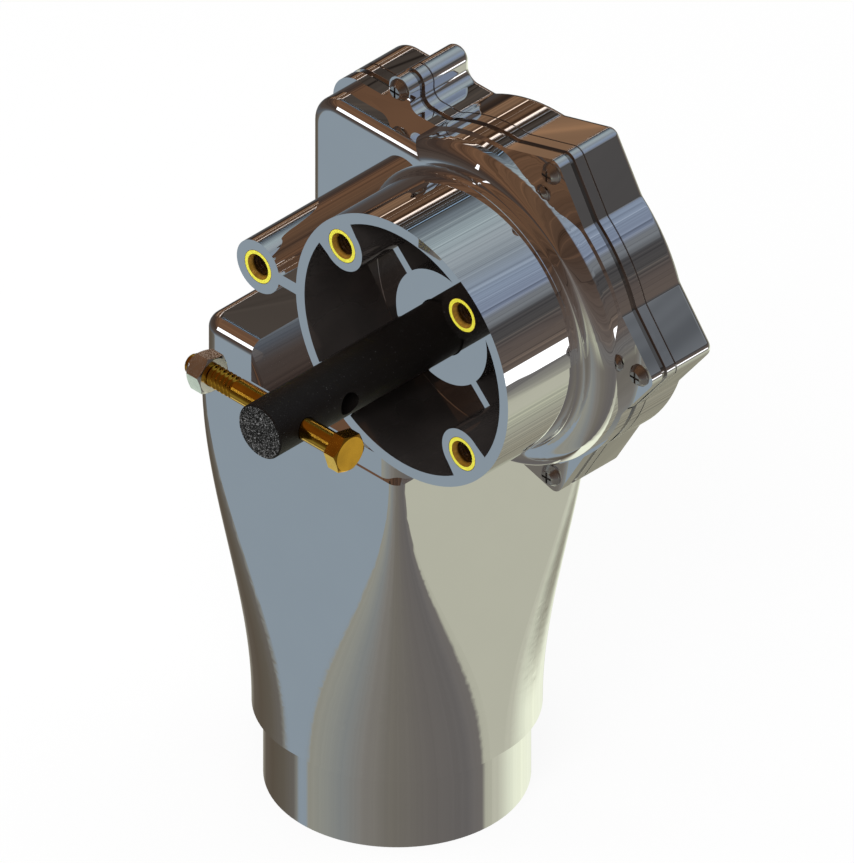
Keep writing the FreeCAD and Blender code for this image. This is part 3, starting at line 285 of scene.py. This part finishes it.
class Shader:
    """A small helper that adds and links nodes in one material."""

    def __init__(self, name):
        self.material = bpy.data.materials.new(name)
        self.material.use_nodes = True
        self.tree = self.material.node_tree
        self.tree.nodes.clear()
        self.output = self.tree.nodes.new("ShaderNodeOutputMaterial")

    def add(self, kind, **values):
        node = self.tree.nodes.new("ShaderNode" + kind)
        for key, value in values.items():
            setattr(node, key, value)
        return node

    def link(self, source, target):
        self.tree.links.new(source, target)

    def spot(self):
        """Object coordinates, in metres."""
        return self.add("TexCoord").outputs["Object"]

    def parts_of(self, vector):
        """The outputs X, Y and Z of a vector."""
        parts = self.add("SeparateXYZ")
        self.link(vector, parts.inputs[0])
        return parts.outputs

    def noise(self, vector, scale, detail=3.0, rough=0.5):
        node = self.add("TexNoise")
        node.inputs["Scale"].default_value = scale
        node.inputs["Detail"].default_value = detail
        node.inputs["Roughness"].default_value = rough
        self.link(vector, node.inputs["Vector"])
        return node.outputs["Fac"]

    def ramp(self, factor, stops):
        """A colour by position along a list of (position, colour)."""
        node = self.add("ValToRGB")
        elements = node.color_ramp.elements
        while len(elements) > 1:
            elements.remove(elements[-1])
        elements[0].position = stops[0][0]
        elements[0].color = stops[0][1]
        for position, color in stops[1:]:
            elements.new(position).color = color
        self.link(factor, node.inputs["Fac"])
        return node.outputs["Color"]

    def span(self, factor, low, high):
        """A number from low to high as the factor goes from 0 to 1."""
        node = self.add("MapRange")
        node.inputs["To Min"].default_value = low
        node.inputs["To Max"].default_value = high
        self.link(factor, node.inputs["Value"])
        return node.outputs["Result"]

    def step(self, value, low, high):
        """A smooth step from 0 at low to 1 at high, which may be the smaller one."""
        node = self.add("MapRange", interpolation_type="SMOOTHSTEP")
        node.inputs["From Min"].default_value = low
        node.inputs["From Max"].default_value = high
        self.link(value, node.inputs["Value"])
        return node.outputs["Result"]

    def window(self, value, low, high, edge):
        """1 between low and high, with soft edges just inside them."""
        return self.product(self.step(value, low, low + edge), self.step(value, high, high - edge))

    def blend(self, factor, first, second):
        """A colour between two, by a factor."""
        node = self.add("Mix", data_type="RGBA")
        self.link(factor, node.inputs[0])
        self.link(first, node.inputs[6])
        self.link(second, node.inputs[7])
        return node.outputs[2]

    def blend_value(self, factor, first, second):
        """A number between two, by a factor."""
        node = self.add("Mix", data_type="FLOAT")
        self.link(factor, node.inputs[0])
        self.link(first, node.inputs[2])
        self.link(second, node.inputs[3])
        return node.outputs[0]

    def fixed_color(self, color):
        """One colour, for a blend."""
        node = self.add("RGB")
        node.outputs[0].default_value = color
        return node.outputs[0]

    def math(self, operation, first, second):
        """One step of arithmetic; each side is a link or a number."""
        node = self.add("Math", operation=operation)
        for socket, value in zip(node.inputs, (first, second)):
            if isinstance(value, (int, float)):
                socket.default_value = value
            else:
                self.link(value, socket)
        return node.outputs[0]

    def product(self, first, *others):
        """All the numbers multiplied."""
        for other in others:
            first = self.math("MULTIPLY", first, other)
        return first

    def opposite(self, value):
        return self.math("SUBTRACT", 1.0, value)

    def facing_front(self, limit):
        """1 where the surface faces -Y, as the barrel's mounting face does."""
        normal = self.parts_of(self.add("TexCoord").outputs["Normal"])
        return self.math("LESS_THAN", normal["Y"], -limit)

    def painted_shade_walls(self, radius, depths):
        """1 on the walls inside a bore along Y, where shade is painted, and 0 on faces that face -Y."""
        spot = self.parts_of(self.spot())
        across = self.math("MULTIPLY", spot["X"], spot["X"])
        up = self.math("MULTIPLY", spot["Z"], spot["Z"])
        near_axis = self.math("LESS_THAN", self.math("ADD", across, up), (radius * MM) ** 2)
        behind = self.math("GREATER_THAN", spot["Y"], depths[0] * MM)
        shallow = self.math("LESS_THAN", spot["Y"], depths[1] * MM)
        return self.product(near_axis, behind, shallow, self.opposite(self.facing_front(0.7)))

    def bump(self, height, strength, distance=0.0002):
        node = self.add("Bump")
        node.inputs["Strength"].default_value = strength
        node.inputs["Distance"].default_value = distance
        self.link(height, node.inputs["Height"])
        return node.outputs["Normal"]

    def surface(self, metallic, color, rough, normal=None):
        """The surface itself, from linked colour, roughness and normal."""
        node = self.add("BsdfPrincipled")
        node.inputs["Metallic"].default_value = metallic
        self.link(color, node.inputs["Base Color"])
        self.link(rough, node.inputs["Roughness"])
        if normal:
            self.link(normal, node.inputs["Normal"])
        self.link(node.outputs["BSDF"], self.output.inputs["Surface"])
        return node


def polished_metal(name, tint, haze=(0.0, 0.008), shade=0.985):
    """Mirror-bright metal with a faint mottle and polishing haze."""
    shader = Shader(name)
    spot = shader.spot()
    mottle = shader.noise(spot, 60.0, 4.0)
    cloud = shader.noise(spot, 420.0, 2.0)
    color = shader.ramp(mottle, [(0.3, scaled(tint, shade)), (0.7, tint)])
    shader.surface(1.0, color, shader.span(cloud, *haze))
    return shader.material


def cast_metal(name, tint, painted_shade):
    """Polished metal outside, and painted shade inside the barrel: its walls get a dark, less metallic colour.
    """
    shader = Shader(name)
    spot = shader.spot()
    mottle = shader.noise(spot, 60.0, 4.0)
    cloud = shader.noise(spot, 420.0, 2.0)
    grain = shader.noise(spot, 60.0, 2.0)
    bright = shader.ramp(mottle, [(0.3, scaled(tint, 0.98)), (0.7, tint)])
    # Painted shade: the walls inside the barrel get a dark colour and less metal, in place of the shade that
    # falls there
    painted_wall_shade = shader.ramp(grain, [(0.3, scaled(painted_shade, 0.7)), (0.7, painted_shade)])
    inside = shader.painted_shade_walls(BARREL_BORE, BARREL_WALLS)
    rough = shader.blend_value(inside, shader.span(cloud, 0.0, 0.008), shader.span(grain, 0.03, 0.06))
    node = shader.surface(1.0, shader.blend(inside, bright, painted_wall_shade), rough)
    shader.link(shader.span(inside, 1.0, 0.7), node.inputs["Metallic"])
    return shader.material


def machined_metal(name, tint, rough=(0.16, 0.3), scale=900.0, strength=0.06):
    """Turned or plated metal with fine marks and a patchy finish."""
    shader = Shader(name)
    spot = shader.spot()
    marks = shader.noise(spot, scale, 6.0, 0.7)
    patch = shader.noise(spot, 160.0)
    color = shader.ramp(patch, [(0.32, scaled(tint, 0.8)), (0.62, tint)])
    shader.surface(1.0, color, shader.span(marks, *rough), shader.bump(marks, strength))
    return shader.material


def speckled_black(name):
    """Blackened steel with few pale grains, and a grainy sawn end."""
    shader = Shader(name)
    spot = shader.spot()
    grains = shader.noise(spot, 1700.0, 2.0, 0.6)
    patch = shader.noise(spot, 220.0)
    fine = shader.noise(spot, 2000.0, 3.0, 0.7)
    side = shader.ramp(grains, [(0.62, (0.0075, 0.0062, 0.0056, 1)), (0.70, grey(0.012)), (0.78, grey(0.12))])
    sawn = shader.ramp(fine, [(0.44, grey(0.004)), (0.52, grey(0.02)), (0.60, grey(0.10)), (0.68, grey(0.3))])
    tip = shader.math("LESS_THAN", shader.parts_of(spot)["Y"], SHAFT_TIP * MM)
    at_end = shader.product(tip, shader.facing_front(0.9))
    node = shader.surface(0.2, shader.blend(at_end, side, sawn), shader.span(patch, 0.4, 0.55),
                          shader.bump(grains, 0.3, 0.0003))
    node.inputs["Specular IOR Level"].default_value = 0.3
    return shader.material


def turned_brass(name, face, bore):
    """Bright yellow end faces, and painted shade in the bore, darker inwards."""
    shader = Shader(name)
    spot = shader.spot()
    marks = shader.noise(spot, 900.0, 4.0)
    bright = shader.ramp(marks, [(0.3, scaled(face, 0.9)), (0.7, face)])
    # Painted shade: the bore's colour, darker still further in
    painted_shade = shader.ramp(marks, [(0.3, scaled(bore, 0.6)), (0.7, bore)])
    deeper_painted_shade = shader.ramp(marks, [(0.3, (0.012, 0.005, 0.001, 1)), (0.7, (0.05, 0.02, 0.004, 1))])
    inwards = shader.step(shader.parts_of(spot)["Y"], BORE_SHADE[0] * MM, BORE_SHADE[1] * MM)
    color = shader.blend(shader.facing_front(0.95), shader.blend(inwards, painted_shade, deeper_painted_shade), bright)
    shader.surface(0.3, color, shader.span(marks, 0.2, 0.3), shader.bump(marks, 0.02))
    return shader.material


def soft_dull(name, tint, rough=(0.5, 0.75)):
    """Rubber, resin, carbon and ferrite."""
    shader = Shader(name)
    grain = shader.noise(shader.spot(), 700.0, 4.0)
    color = shader.ramp(grain, [(0.35, scaled(tint, 0.6)), (0.65, tint)])
    shader.surface(0.0, color, shader.span(grain, *rough), shader.bump(grain, 0.2))
    return shader.material


CHROME = polished_metal("polished_casting", (0.93, 0.93, 0.94, 1.0))
# Its last colour is painted shade for the walls inside the barrel
CASTING = cast_metal("polished_barrel", (0.93, 0.93, 0.94, 1.0), (0.13, 0.112, 0.105, 1.0))
CAN_METAL = polished_metal("bright_can", (0.92, 0.92, 0.93, 1.0), (0.0, 0.03))
PLATE_METAL = polished_metal("bright_plate", (0.88, 0.88, 0.90, 1.0), (0.01, 0.04))
GASKET = polished_metal("dark_gasket", (0.42, 0.40, 0.39, 1.0), (0.04, 0.1), 0.75)
RUBBER = soft_dull("black_rubber", (0.012, 0.011, 0.010, 1.0))
# Its second colour is painted shade for the bores
BRASS = turned_brass("turned_brass", (1.0, 0.92, 0.08, 1.0), (0.36, 0.18, 0.02, 1.0))
GOLD = machined_metal("yellow_passivated", (0.88, 0.48, 0.05, 1.0), (0.10, 0.2), 2400.0, 0.02)
ZINC = machined_metal("clear_zinc", (0.92, 0.91, 0.89, 1.0), (0.12, 0.24), 2400.0, 0.04)
STEEL = machined_metal("bright_steel", (0.70, 0.70, 0.71, 1.0), (0.12, 0.25))
BRONZE = machined_metal("cut_bronze", (0.72, 0.44, 0.17, 1.0))
COPPER = machined_metal("enamelled_copper", (0.75, 0.30, 0.14, 1.0), (0.2, 0.35), 1200.0, 0.2)
IRON = machined_metal("laminated_iron", (0.35, 0.35, 0.37, 1.0), (0.35, 0.5), 2400.0, 0.2)
FERRITE = soft_dull("ferrite", (0.035, 0.035, 0.038, 1.0))
CARBON = soft_dull("pressed_carbon", (0.02, 0.02, 0.02, 1.0), (0.4, 0.6))
RESIN = soft_dull("dark_resin", (0.03, 0.02, 0.018, 1.0), (0.3, 0.5))
BLACK = speckled_black("black_oxide")

# Materials of the CAD nodes that stay as they are; the others are plain bright steel.
NODE_LOOKS = {
    "motor_housing": CHROME, "motor_can": CAN_METAL, "output_shaft": BLACK, "gasket": GASKET,
    "cover_seam": GASKET, "shaft_seal": RUBBER, "magnets": FERRITE, "brush_holder": RESIN,
    "carbon_brushes": CARBON, "worm_wheel": BRONZE, "armature_core": IRON,
    "armature_windings": COPPER, "commutator": COPPER, "motor_end_plate": PLATE_METAL,
}

# Castings whose sharp rims are broken by a narrow round: material and radius.
RIMS = {"gear_case": (CASTING, 0.35), "rear_cover": (CHROME, 0.35), "bearing_plate": (PLATE_METAL, 0.25)}
# Faces that meet at more than the first angle, in degrees, make a rim; within the second they are one.
RIM_ANGLE = 28
FLAT_ANGLE = 0.2


def dress_cad_nodes():
    """Materials for the CAD nodes, and castings with narrow rounded rims in place of three of them."""
    for name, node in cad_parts.items():
        node.data.materials.clear()
        node.data.materials.append(NODE_LOOKS.get(name, STEEL))
    for name, (material, rim) in RIMS.items():
        soften(name, material, rim)


def soften(name, material, rim):
    """A copy of a CAD node with its sharp edges rounded a little and its flats kept flat."""
    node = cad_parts[name]
    mesh = node.data.copy()
    mesh.transform(node.matrix_world)
    made = bpy.data.objects.new("smooth_" + name, mesh)
    bpy.context.scene.collection.objects.link(made)
    select_only(made)
    bpy.ops.mesh.customdata_custom_splitnormals_clear()
    bpy.ops.object.mode_set(mode="EDIT")
    bpy.ops.mesh.select_all(action="SELECT")
    bpy.ops.mesh.remove_doubles(threshold=2e-6)
    bpy.ops.mesh.dissolve_limited(angle_limit=math.radians(FLAT_ANGLE))
    bpy.ops.object.mode_set(mode="OBJECT")
    bpy.ops.object.shade_smooth_by_angle(angle=math.radians(RIM_ANGLE))
    bevel = made.modifiers.new("rim", "BEVEL")
    bevel.width = rim * MM
    bevel.segments = 3
    bevel.limit_method = "ANGLE"
    bevel.angle_limit = math.radians(RIM_ANGLE)
    bevel.miter_outer = "MITER_ARC"
    weighted = made.modifiers.new("flats", "WEIGHTED_NORMAL")
    weighted.weight = 80
    weighted.keep_sharp = True
    place(made, "housing", material, "casting", name)


def round_the_axis(radius, angles):
    """Places in X and Z on a circle about the output shaft's axis, angles in degrees."""
    turns = [math.radians(angle) for angle in angles]
    return [(radius * math.cos(turn), radius * math.sin(turn)) for turn in turns]


def make_screws():
    """Pan-head screws with a cross recess."""
    face = FLANGE_Y - SCREW_HEAD_H
    crown = arc((0, FLANGE_Y + SCREW_DOME_BACK), SCREW_HEAD_R, *SCREW_DOME_ANGLES, 8)
    dome = [(radius, max(station, face)) for radius, station in crown if radius > SCREW_FLAT_R]
    profile = [(0, face), *dome, (SCREW_HEAD_R, FLANGE_Y - SCREW_RIM), (SCREW_HEAD_R - SCREW_EDGE, FLANGE_Y),
               (SCREW_R, FLANGE_Y), (SCREW_R, FLANGE_Y + SCREW_LENGTH - SCREW_POINT),
               (0, FLANGE_Y + SCREW_LENGTH)]
    depth = (face - 1, face + CROSS_DEPTH)
    spots = round_the_axis(SCREW_CIRCLE, LOBE_ANGLES) + [TOP_FINGER, LEFT_FINGER]
    for number, (x, z) in enumerate(spots):
        screw = lathe(f"cover_screw_{number}", profile, "y", (x, z), 48)
        cross = []
        for wide, high in ((CROSS_REACH, CROSS_HALF_WIDTH), (CROSS_HALF_WIDTH, CROSS_REACH)):
            cross.append(block("slot", (x - wide, x + wide), depth, (z - high, z + high)))
        combine(screw, cross, "DIFFERENCE")
        finish_surface(screw)
        place(screw, "housing", STEEL, "screw_steel", "cover_screws")


def make_inserts():
    """Brass inserts with a countersunk, threaded bore."""
    profile = [(INSERT_R - INSERT_EDGE, 0), (INSERT_R, INSERT_EDGE), (INSERT_R, INSERT_DEPTH),
               (INSERT_BORE, INSERT_DEPTH)]
    station = INSERT_DEPTH - THREAD_END_GAP
    while station > THREAD_START:
        profile += [(INSERT_BORE + THREAD_DEPTH, station), (INSERT_BORE, station - THREAD_PITCH / 2)]
        station -= THREAD_PITCH
    mouth = INSERT_BORE + INSERT_MOUTH
    profile += [(INSERT_BORE + INSERT_BREAK, INSERT_LEAD), (mouth - INSERT_BREAK / 2, INSERT_BREAK), (mouth, 0)]
    spots = round_the_axis(INSERT_CIRCLE, INSERT_ANGLES) + [(SIDE_BOSS_X, 0.0)]
    for number, (x, z) in enumerate(spots):
        insert = lathe(f"brass_insert_{number}", profile, "y", (x, z), 72)
        finish_surface(insert, 25.0)
        place(insert, "housing", BRASS, "brass", "threaded_inserts")


def hexagon_x(name, low, high, bevel_low, bevel_high):
    """A hexagonal block along X, with its corners turned off at the ends named."""
    corner = FLATS / math.sqrt(3)
    turns = [math.radians(60 * k + HEX_TURN) for k in range(6)]
    ring = [(BOLT_Y + corner * math.cos(turn), corner * math.sin(turn)) for turn in turns]
    made = skin(name, [[(x, y, z) for y, z in ring] for x in (low, high)])
    flat = FLATS / 2 * HEX_FACE_SHARE
    far = corner + 1
    drop = (far - flat) * HEX_SLOPE
    profile = [(0, low), (flat if bevel_low else far, low)]
    if bevel_low:
        profile.append((far, low + drop))
    if bevel_high:
        profile.append((far, high - drop))
    profile += [(flat if bevel_high else far, high), (0, high)]
    combine(made, [lathe("cone", profile, "x", (BOLT_Y, 0), 96)], "INTERSECT")
    return made


def threaded_rod(name, low, high, thread_end, radius, depth):
    """A rod with a helical thread from its low end up to thread_end."""
    around = 64
    steps = int(round((thread_end - low) / BOLT_PITCH * BOLT_THREAD_STEPS))
    stations = [low + (thread_end - low) * k / steps for k in range(steps + 1)]
    stations += [thread_end + BOLT_THREAD_FADE, high]
    rings = []
    for x in stations:
        ring = []
        for n in range(around):
            local = radius
            if x <= thread_end:
                local -= depth * (0.5 - 0.5 * math.cos(math.tau * (x / BOLT_PITCH - n / around)))
            local = min(local, radius - BOLT_TIP_TAPER + (x - low))
            angle = math.tau * n / around
            ring.append((x, BOLT_Y + local * math.cos(angle), local * math.sin(angle)))
        rings.append(ring)
    return skin(name, rings)


def make_bolt():
    """The hexagon bolt through the shaft, and its nut with a locking collar."""
    shank = threaded_rod("bolt_shank", BOLT_TIP, BOLT_HEAD[0] + BOLT_SINK, BOLT_THREAD_END,
                         BOLT_R - BOLT_EASE, BOLT_THREAD_DEPTH)
    finish_surface(shank, 60.0)
    place(shank, "output", GOLD, "yellow_zinc", "drive_bolt")
    head = hexagon_x("bolt_head", *BOLT_HEAD, False, True)
    finish_surface(head, 20.0)
    place(head, "output", GOLD, "yellow_zinc", "drive_bolt")
    bore = BOLT_R + NUT_GAP
    low, high = NUT
    nut = hexagon_x("hexagon_nut", low, high, True, True)
    combine(nut, [rod("hole", bore, low - 1, high + 1, "x", (BOLT_Y, 0), 0.1)], "DIFFERENCE")
    finish_surface(nut, 20.0)
    place(nut, "output", ZINC, "zinc", "lock_nut")
    root = low + NUT_COLLAR_SINK
    profile = [(bore, NUT_COLLAR_END), (NUT_COLLAR_R - NUT_COLLAR_EDGE, NUT_COLLAR_END),
               (NUT_COLLAR_R, NUT_COLLAR_END + NUT_COLLAR_EDGE), (NUT_COLLAR_R, root), (bore, root)]
    ring = lathe("nut_collar", profile, "x", (BOLT_Y, 0), 72)
    finish_surface(ring)
    place(ring, "output", ZINC, "zinc", "lock_nut")


# Colours of the studio that the bright metal reflects: (angle in degrees, display colour).
# Round the barrel's axis
SIDE_TINTS = [
    (-180, (56, 44, 36)), (-165, (80, 80, 81)), (-149, (90, 96, 103)), (-130, (140, 138, 122)),
    (-92, (138, 135, 120)), (-72, (150, 149, 134)), (-55, (168, 170, 151)), (-38, (168, 170, 151)),
    (-35, (112, 110, 107)), (-23.5, (104, 102, 100)), (-11, (99, 88, 80)), (8, (84, 76, 72)),
    (14, (73, 71, 70)), (24, (66, 65, 66)), (28, (112, 116, 120)), (33, (112, 116, 120)),
    (36, (117, 127, 146)), (52, (130, 143, 161)), (72, (130, 139, 146)), (86, (148, 157, 162)),
    (102, (148, 161, 165)), (122, (100, 109, 116)), (129, (58, 60, 60)), (138, (72, 62, 54)),
    (146, (98, 73, 54)), (158, (84, 62, 46)), (162, (119, 92, 70)), (170, (119, 92, 70)),
    (173, (40, 32, 28)), (180, (56, 44, 36)),
]
# Round the same axis, in the front of the room
FRONT_TINTS = [
    (-180, (70, 60, 54)), (-54, (118, 112, 108)), (0, (88, 78, 72)), (43.2, (70, 54, 44)),
    (90, (96, 72, 54)), (136.8, (104, 76, 56)), (162, (62, 50, 44)), (180, (70, 60, 54)),
]
# Round the motor's upright axis, low in the room
FLOOR_TINTS = [
    (-180, (86, 78, 67)), (-160, (92, 86, 76)), (-146, (100, 96, 90)), (-142, (124, 124, 118)),
    (-139, (134, 146, 155)), (-131, (134, 146, 155)), (-128, (141, 140, 129)), (-115, (137, 138, 130)),
    (-95, (126, 129, 127)), (-75, (121, 118, 112)), (-50, (110, 106, 98)), (-15, (102, 98, 94)),
    (20, (99, 96, 94)), (34, (110, 106, 102)), (38, (173, 173, 156)), (52, (181, 181, 164)),
    (70, (222, 226, 204)), (90, (236, 240, 216)), (126, (230, 234, 214)), (140, (150, 146, 134)),
    (160, (92, 84, 74)), (180, (86, 78, 67)),
]
# Fine lines over the bands: what multiplies the colour, by the height of a noise.
SIDE_STREAKS = [(0.30, (0.45, 0.45, 0.46, 1)), (0.41, (0.86, 0.86, 0.87, 1)), (0.5, (1, 1, 1, 1)),
                (0.6, (1.1, 1.1, 1.1, 1)), (0.7, (1.7, 1.62, 1.5, 1))]
OVERHEAD_STREAKS = [(0.42, (0.25, 0.24, 0.24, 1)), (0.45, (0.8, 0.8, 0.8, 1)), (0.56, (1.1, 1.1, 1.1, 1)),
                    (0.58, (2.0, 2.4, 2.8, 1)), (0.61, (14, 20, 28, 1))]
FLOOR_STREAKS = [(0.3, (0.95, 0.95, 0.95, 1)), (0.5, (1, 1, 1, 1)), (0.7, (1.05, 1.05, 1.05, 1))]
# How close the lines lie in each region
SIDE_LINES = 150.0
OVERHEAD_LINES = 110.0
FRONT_LINES = 40.0
FLOOR_LINES = 24.0
# The overhead streaks come and go between these angles round the barrel's axis.
OVERHEAD_COMES = (126, 132)
OVERHEAD_GOES = (162, 158)

# The regions below lie along soft steps of a direction's Y, and then of its Z.
FRONT_REGION = ((0.35, 0.15), (-0.40, -0.15))
UNDER_BARREL = ((0.50, 0.55), (-0.60, -0.66))
LOW_STEP = (-0.36, -0.54)
# A white light beside the barrel: its angles round the barrel's axis, and its limits in Y and soft edge
SIDE_LIGHT = (-23, -11.5)
SIDE_LIGHT_EDGE = 0.002
SIDE_LIGHT_LIMITS = (0.50, 0.64, 0.03)
# The other lights have limits and a soft edge in X and in Z, and a step in Y.
# White, in front, for the rounds along the upper front edges
FRONT_LIGHT = ((-0.590, -0.564, 0.005), (0.12, 0.47, 0.03), (-0.3, -0.31))
# Pale, below, for the lower faces of the bolt's head and the nut
UNDER_LIGHT = ((-0.62, -0.53, 0.02), (-0.85, -0.76, 0.02), (0.1, 0.05))
WHITE_GLOW = (1.5, 1.5, 1.5, 1.0)
UNDER_GLOW = linear(205, 222, 208)
GLOW_STRENGTH = 1.07


def share_of_turn(angle):
    """Where an angle from -180 to 180 degrees lies on a turn from 0 to 1."""
    return (angle + 180) / 360


def band_stops(tints):
    """Stops along a turn, from angles and display colours."""
    return [(share_of_turn(angle), linear(*tint)) for angle, tint in tints]


def turn_about(shader, vector, rotation):
    """How far a direction lies round an axis, from 0 to 1."""
    mapping = shader.add("Mapping")
    mapping.inputs["Rotation"].default_value = rotation
    shader.link(vector, mapping.inputs["Vector"])
    gradient = shader.add("TexGradient", gradient_type="RADIAL")
    shader.link(mapping.outputs["Vector"], gradient.inputs["Vector"])
    return gradient.outputs["Fac"]


def streaked(shader, color, turn, scale, heights, share=None):
    """The colour with fine lines along the axis that it goes round, in a share of the view."""
    lines = shader.add("TexNoise", noise_dimensions="1D")
    lines.inputs["Scale"].default_value = scale
    lines.inputs["Detail"].default_value = 6.0
    lines.inputs["Roughness"].default_value = 0.75
    shader.link(turn, lines.inputs["W"])
    striped = shader.add("Mix", data_type="RGBA", blend_type="MULTIPLY")
    striped.inputs[0].default_value = 1.0
    if share:
        shader.link(share, striped.inputs[0])
    shader.link(color, striped.inputs[6])
    shader.link(shader.ramp(lines.outputs["Fac"], heights), striped.inputs[7])
    return striped.outputs[2]


def region_share(shader, parts, back_step, up_step):
    """1 where a direction is past soft steps in Y and Z."""
    return shader.product(shader.step(parts["Y"], *back_step), shader.step(parts["Z"], *up_step))


def light_share(shader, parts, across_limits, up_limits, back_step):
    """1 where a direction meets a light, which has limits in X and Z and a soft step in Y."""
    return shader.product(shader.window(parts["X"], *across_limits), shader.window(parts["Z"], *up_limits),
                          shader.step(parts["Y"], *back_step))


def side_bands(shader, turn, back, white):
    """Bands round the barrel's axis, with a white light beside the barrel and streaks overhead."""
    color = streaked(shader, shader.ramp(turn, band_stops(SIDE_TINTS)), turn, SIDE_LINES, SIDE_STREAKS)
    low, high = (share_of_turn(angle) for angle in SIDE_LIGHT)
    beside = shader.product(shader.window(turn, low, high, SIDE_LIGHT_EDGE),
                            shader.window(back, *SIDE_LIGHT_LIMITS))
    color = shader.blend(beside, color, white)
    edges = [[share_of_turn(angle) for angle in pair] for pair in (OVERHEAD_COMES, OVERHEAD_GOES)]
    overhead = shader.product(*(shader.step(turn, *edge) for edge in edges))
    return streaked(shader, color, turn, OVERHEAD_LINES, OVERHEAD_STREAKS, overhead)


def surround_material():
    """The studio's glow: bands round the barrel's axis, others low round the motor's, and two lights."""
    shader = Shader("surround_glow")
    normalized = shader.add("VectorMath", operation="NORMALIZE")
    shader.link(shader.spot(), normalized.inputs[0])
    direction = normalized.outputs["Vector"]
    parts = shader.parts_of(direction)
    white = shader.fixed_color(WHITE_GLOW)
    turn = turn_about(shader, direction, (-math.pi / 2, 0, 0))
    color = side_bands(shader, turn, parts["Y"], white)

    room = streaked(shader, shader.ramp(turn, band_stops(FRONT_TINTS)), turn, FRONT_LINES, SIDE_STREAKS)
    color = shader.blend(region_share(shader, parts, *FRONT_REGION), color, room)

    around = turn_about(shader, direction, (0, 0, 0))
    below = streaked(shader, shader.ramp(around, band_stops(FLOOR_TINTS)), around, FLOOR_LINES, FLOOR_STREAKS)
    beyond_barrel = shader.opposite(region_share(shader, parts, *UNDER_BARREL))
    low_down = shader.product(shader.step(parts["Z"], *LOW_STEP), beyond_barrel)
    color = shader.blend(low_down, color, below)

    color = shader.blend(light_share(shader, parts, *FRONT_LIGHT), color, white)
    pale = shader.fixed_color(UNDER_GLOW)
    color = shader.blend(light_share(shader, parts, *UNDER_LIGHT), color, pale)

    glow = shader.add("Emission")
    glow.inputs["Strength"].default_value = GLOW_STRENGTH
    shader.link(color, glow.inputs["Color"])
    shader.link(glow.outputs["Emission"], shader.output.inputs["Surface"])
    return shader.material


def seen_rays(tree):
    """1 for rays that see the background: straight, in a reflection or through glass."""
    path = tree.nodes.new("ShaderNodeLightPath")
    total = path.outputs["Is Camera Ray"]
    for name in ("Is Glossy Ray", "Is Transmission Ray"):
        either = tree.nodes.new("ShaderNodeMath")
        either.operation = "MAXIMUM"
        tree.links.new(total, either.inputs[0])
        tree.links.new(path.outputs[name], either.inputs[1])
        total = either.outputs[0]
    return total


def make_floor():
    """A pale floor that fades into the white background and keeps the object's shadow."""
    bpy.ops.mesh.primitive_plane_add(size=FLOOR_WIDTH, location=(0, 0, FLOOR_Z * MM))
    floor = bpy.context.object
    floor.name = "floor"
    shader = Shader("pale_floor")
    grain = shader.noise(shader.spot(), 30.0)
    diffuse = shader.add("BsdfDiffuse")
    shader.link(shader.ramp(grain, [(0.0, grey(0.90)), (1.0, grey(0.93))]), diffuse.inputs["Color"])
    white = shader.add("Emission")
    mix = shader.add("MixShader")
    shader.link(shader.math("MULTIPLY", seen_rays(shader.tree), FLOOR_FADE), mix.inputs[0])
    shader.link(diffuse.outputs[0], mix.inputs[1])
    shader.link(white.outputs[0], mix.inputs[2])
    shader.link(mix.outputs[0], shader.output.inputs["Surface"])
    floor.data.materials.append(shader.material)
    floor.visible_glossy = False


def make_surround():
    """A far dome that shows in reflections and nowhere else."""
    bpy.ops.mesh.primitive_uv_sphere_add(segments=64, ring_count=32, radius=SURROUND_RADIUS)
    dome = bpy.context.object
    dome.name = "studio_surround"
    dome.data.materials.append(surround_material())
    dome.visible_camera = False
    dome.visible_diffuse = False
    dome.visible_transmission = False
    dome.visible_volume_scatter = False
    dome.visible_shadow = False


def make_lamps():
    """Soft area lamps, which the bright metal doesn't reflect."""
    for name, spot, energy, width in LAMPS:
        data = bpy.data.lights.new(name, "AREA")
        data.energy = energy
        data.size = width
        lamp = bpy.data.objects.new(name, data)
        lamp.location = spot
        lamp.rotation_euler = (Vector(LAMP_TARGET) - Vector(spot)).to_track_quat("-Z", "Y").to_euler()
        lamp.visible_glossy = False
        bpy.context.scene.collection.objects.link(lamp)


def make_world():
    """Even white light, seen as pure white where a ray reaches the background."""
    world = bpy.data.worlds.new("surroundings")
    bpy.context.scene.world = world
    world.use_nodes = True
    tree = world.node_tree
    tree.nodes.clear()
    out = tree.nodes.new("ShaderNodeOutputWorld")
    mix = tree.nodes.new("ShaderNodeMixShader")
    tree.links.new(seen_rays(tree), mix.inputs[0])
    for socket, strength in ((mix.inputs[1], WORLD_LIGHT), (mix.inputs[2], 1.0)):
        light = tree.nodes.new("ShaderNodeBackground")
        light.inputs["Color"].default_value = (1, 1, 1, 1)
        light.inputs["Strength"].default_value = strength
        tree.links.new(light.outputs[0], socket)
    tree.links.new(mix.outputs[0], out.inputs["Surface"])


def make_camera():
    """An isometric camera, as in the photograph."""
    target = Vector(CAMERA_TARGET) * MM
    data = bpy.data.cameras.new("camera")
    data.type = "ORTHO"
    data.ortho_scale = IMAGE_HEIGHT / PIXELS_PER_MM * MM
    data.clip_end = CAMERA_REACH
    camera = bpy.data.objects.new("camera", data)
    camera.location = target + Vector((1, -1, 1)).normalized() * CAMERA_DISTANCE
    camera.rotation_euler = (target - camera.location).to_track_quat("-Z", "Y").to_euler()
    bpy.context.scene.collection.objects.link(camera)
    bpy.context.scene.camera = camera
    bpy.context.scene.view_settings.view_transform = "Standard"


dress_cad_nodes()
make_screws()
make_inserts()
make_bolt()
make_floor()
make_surround()
make_lamps()
make_world()
make_camera()
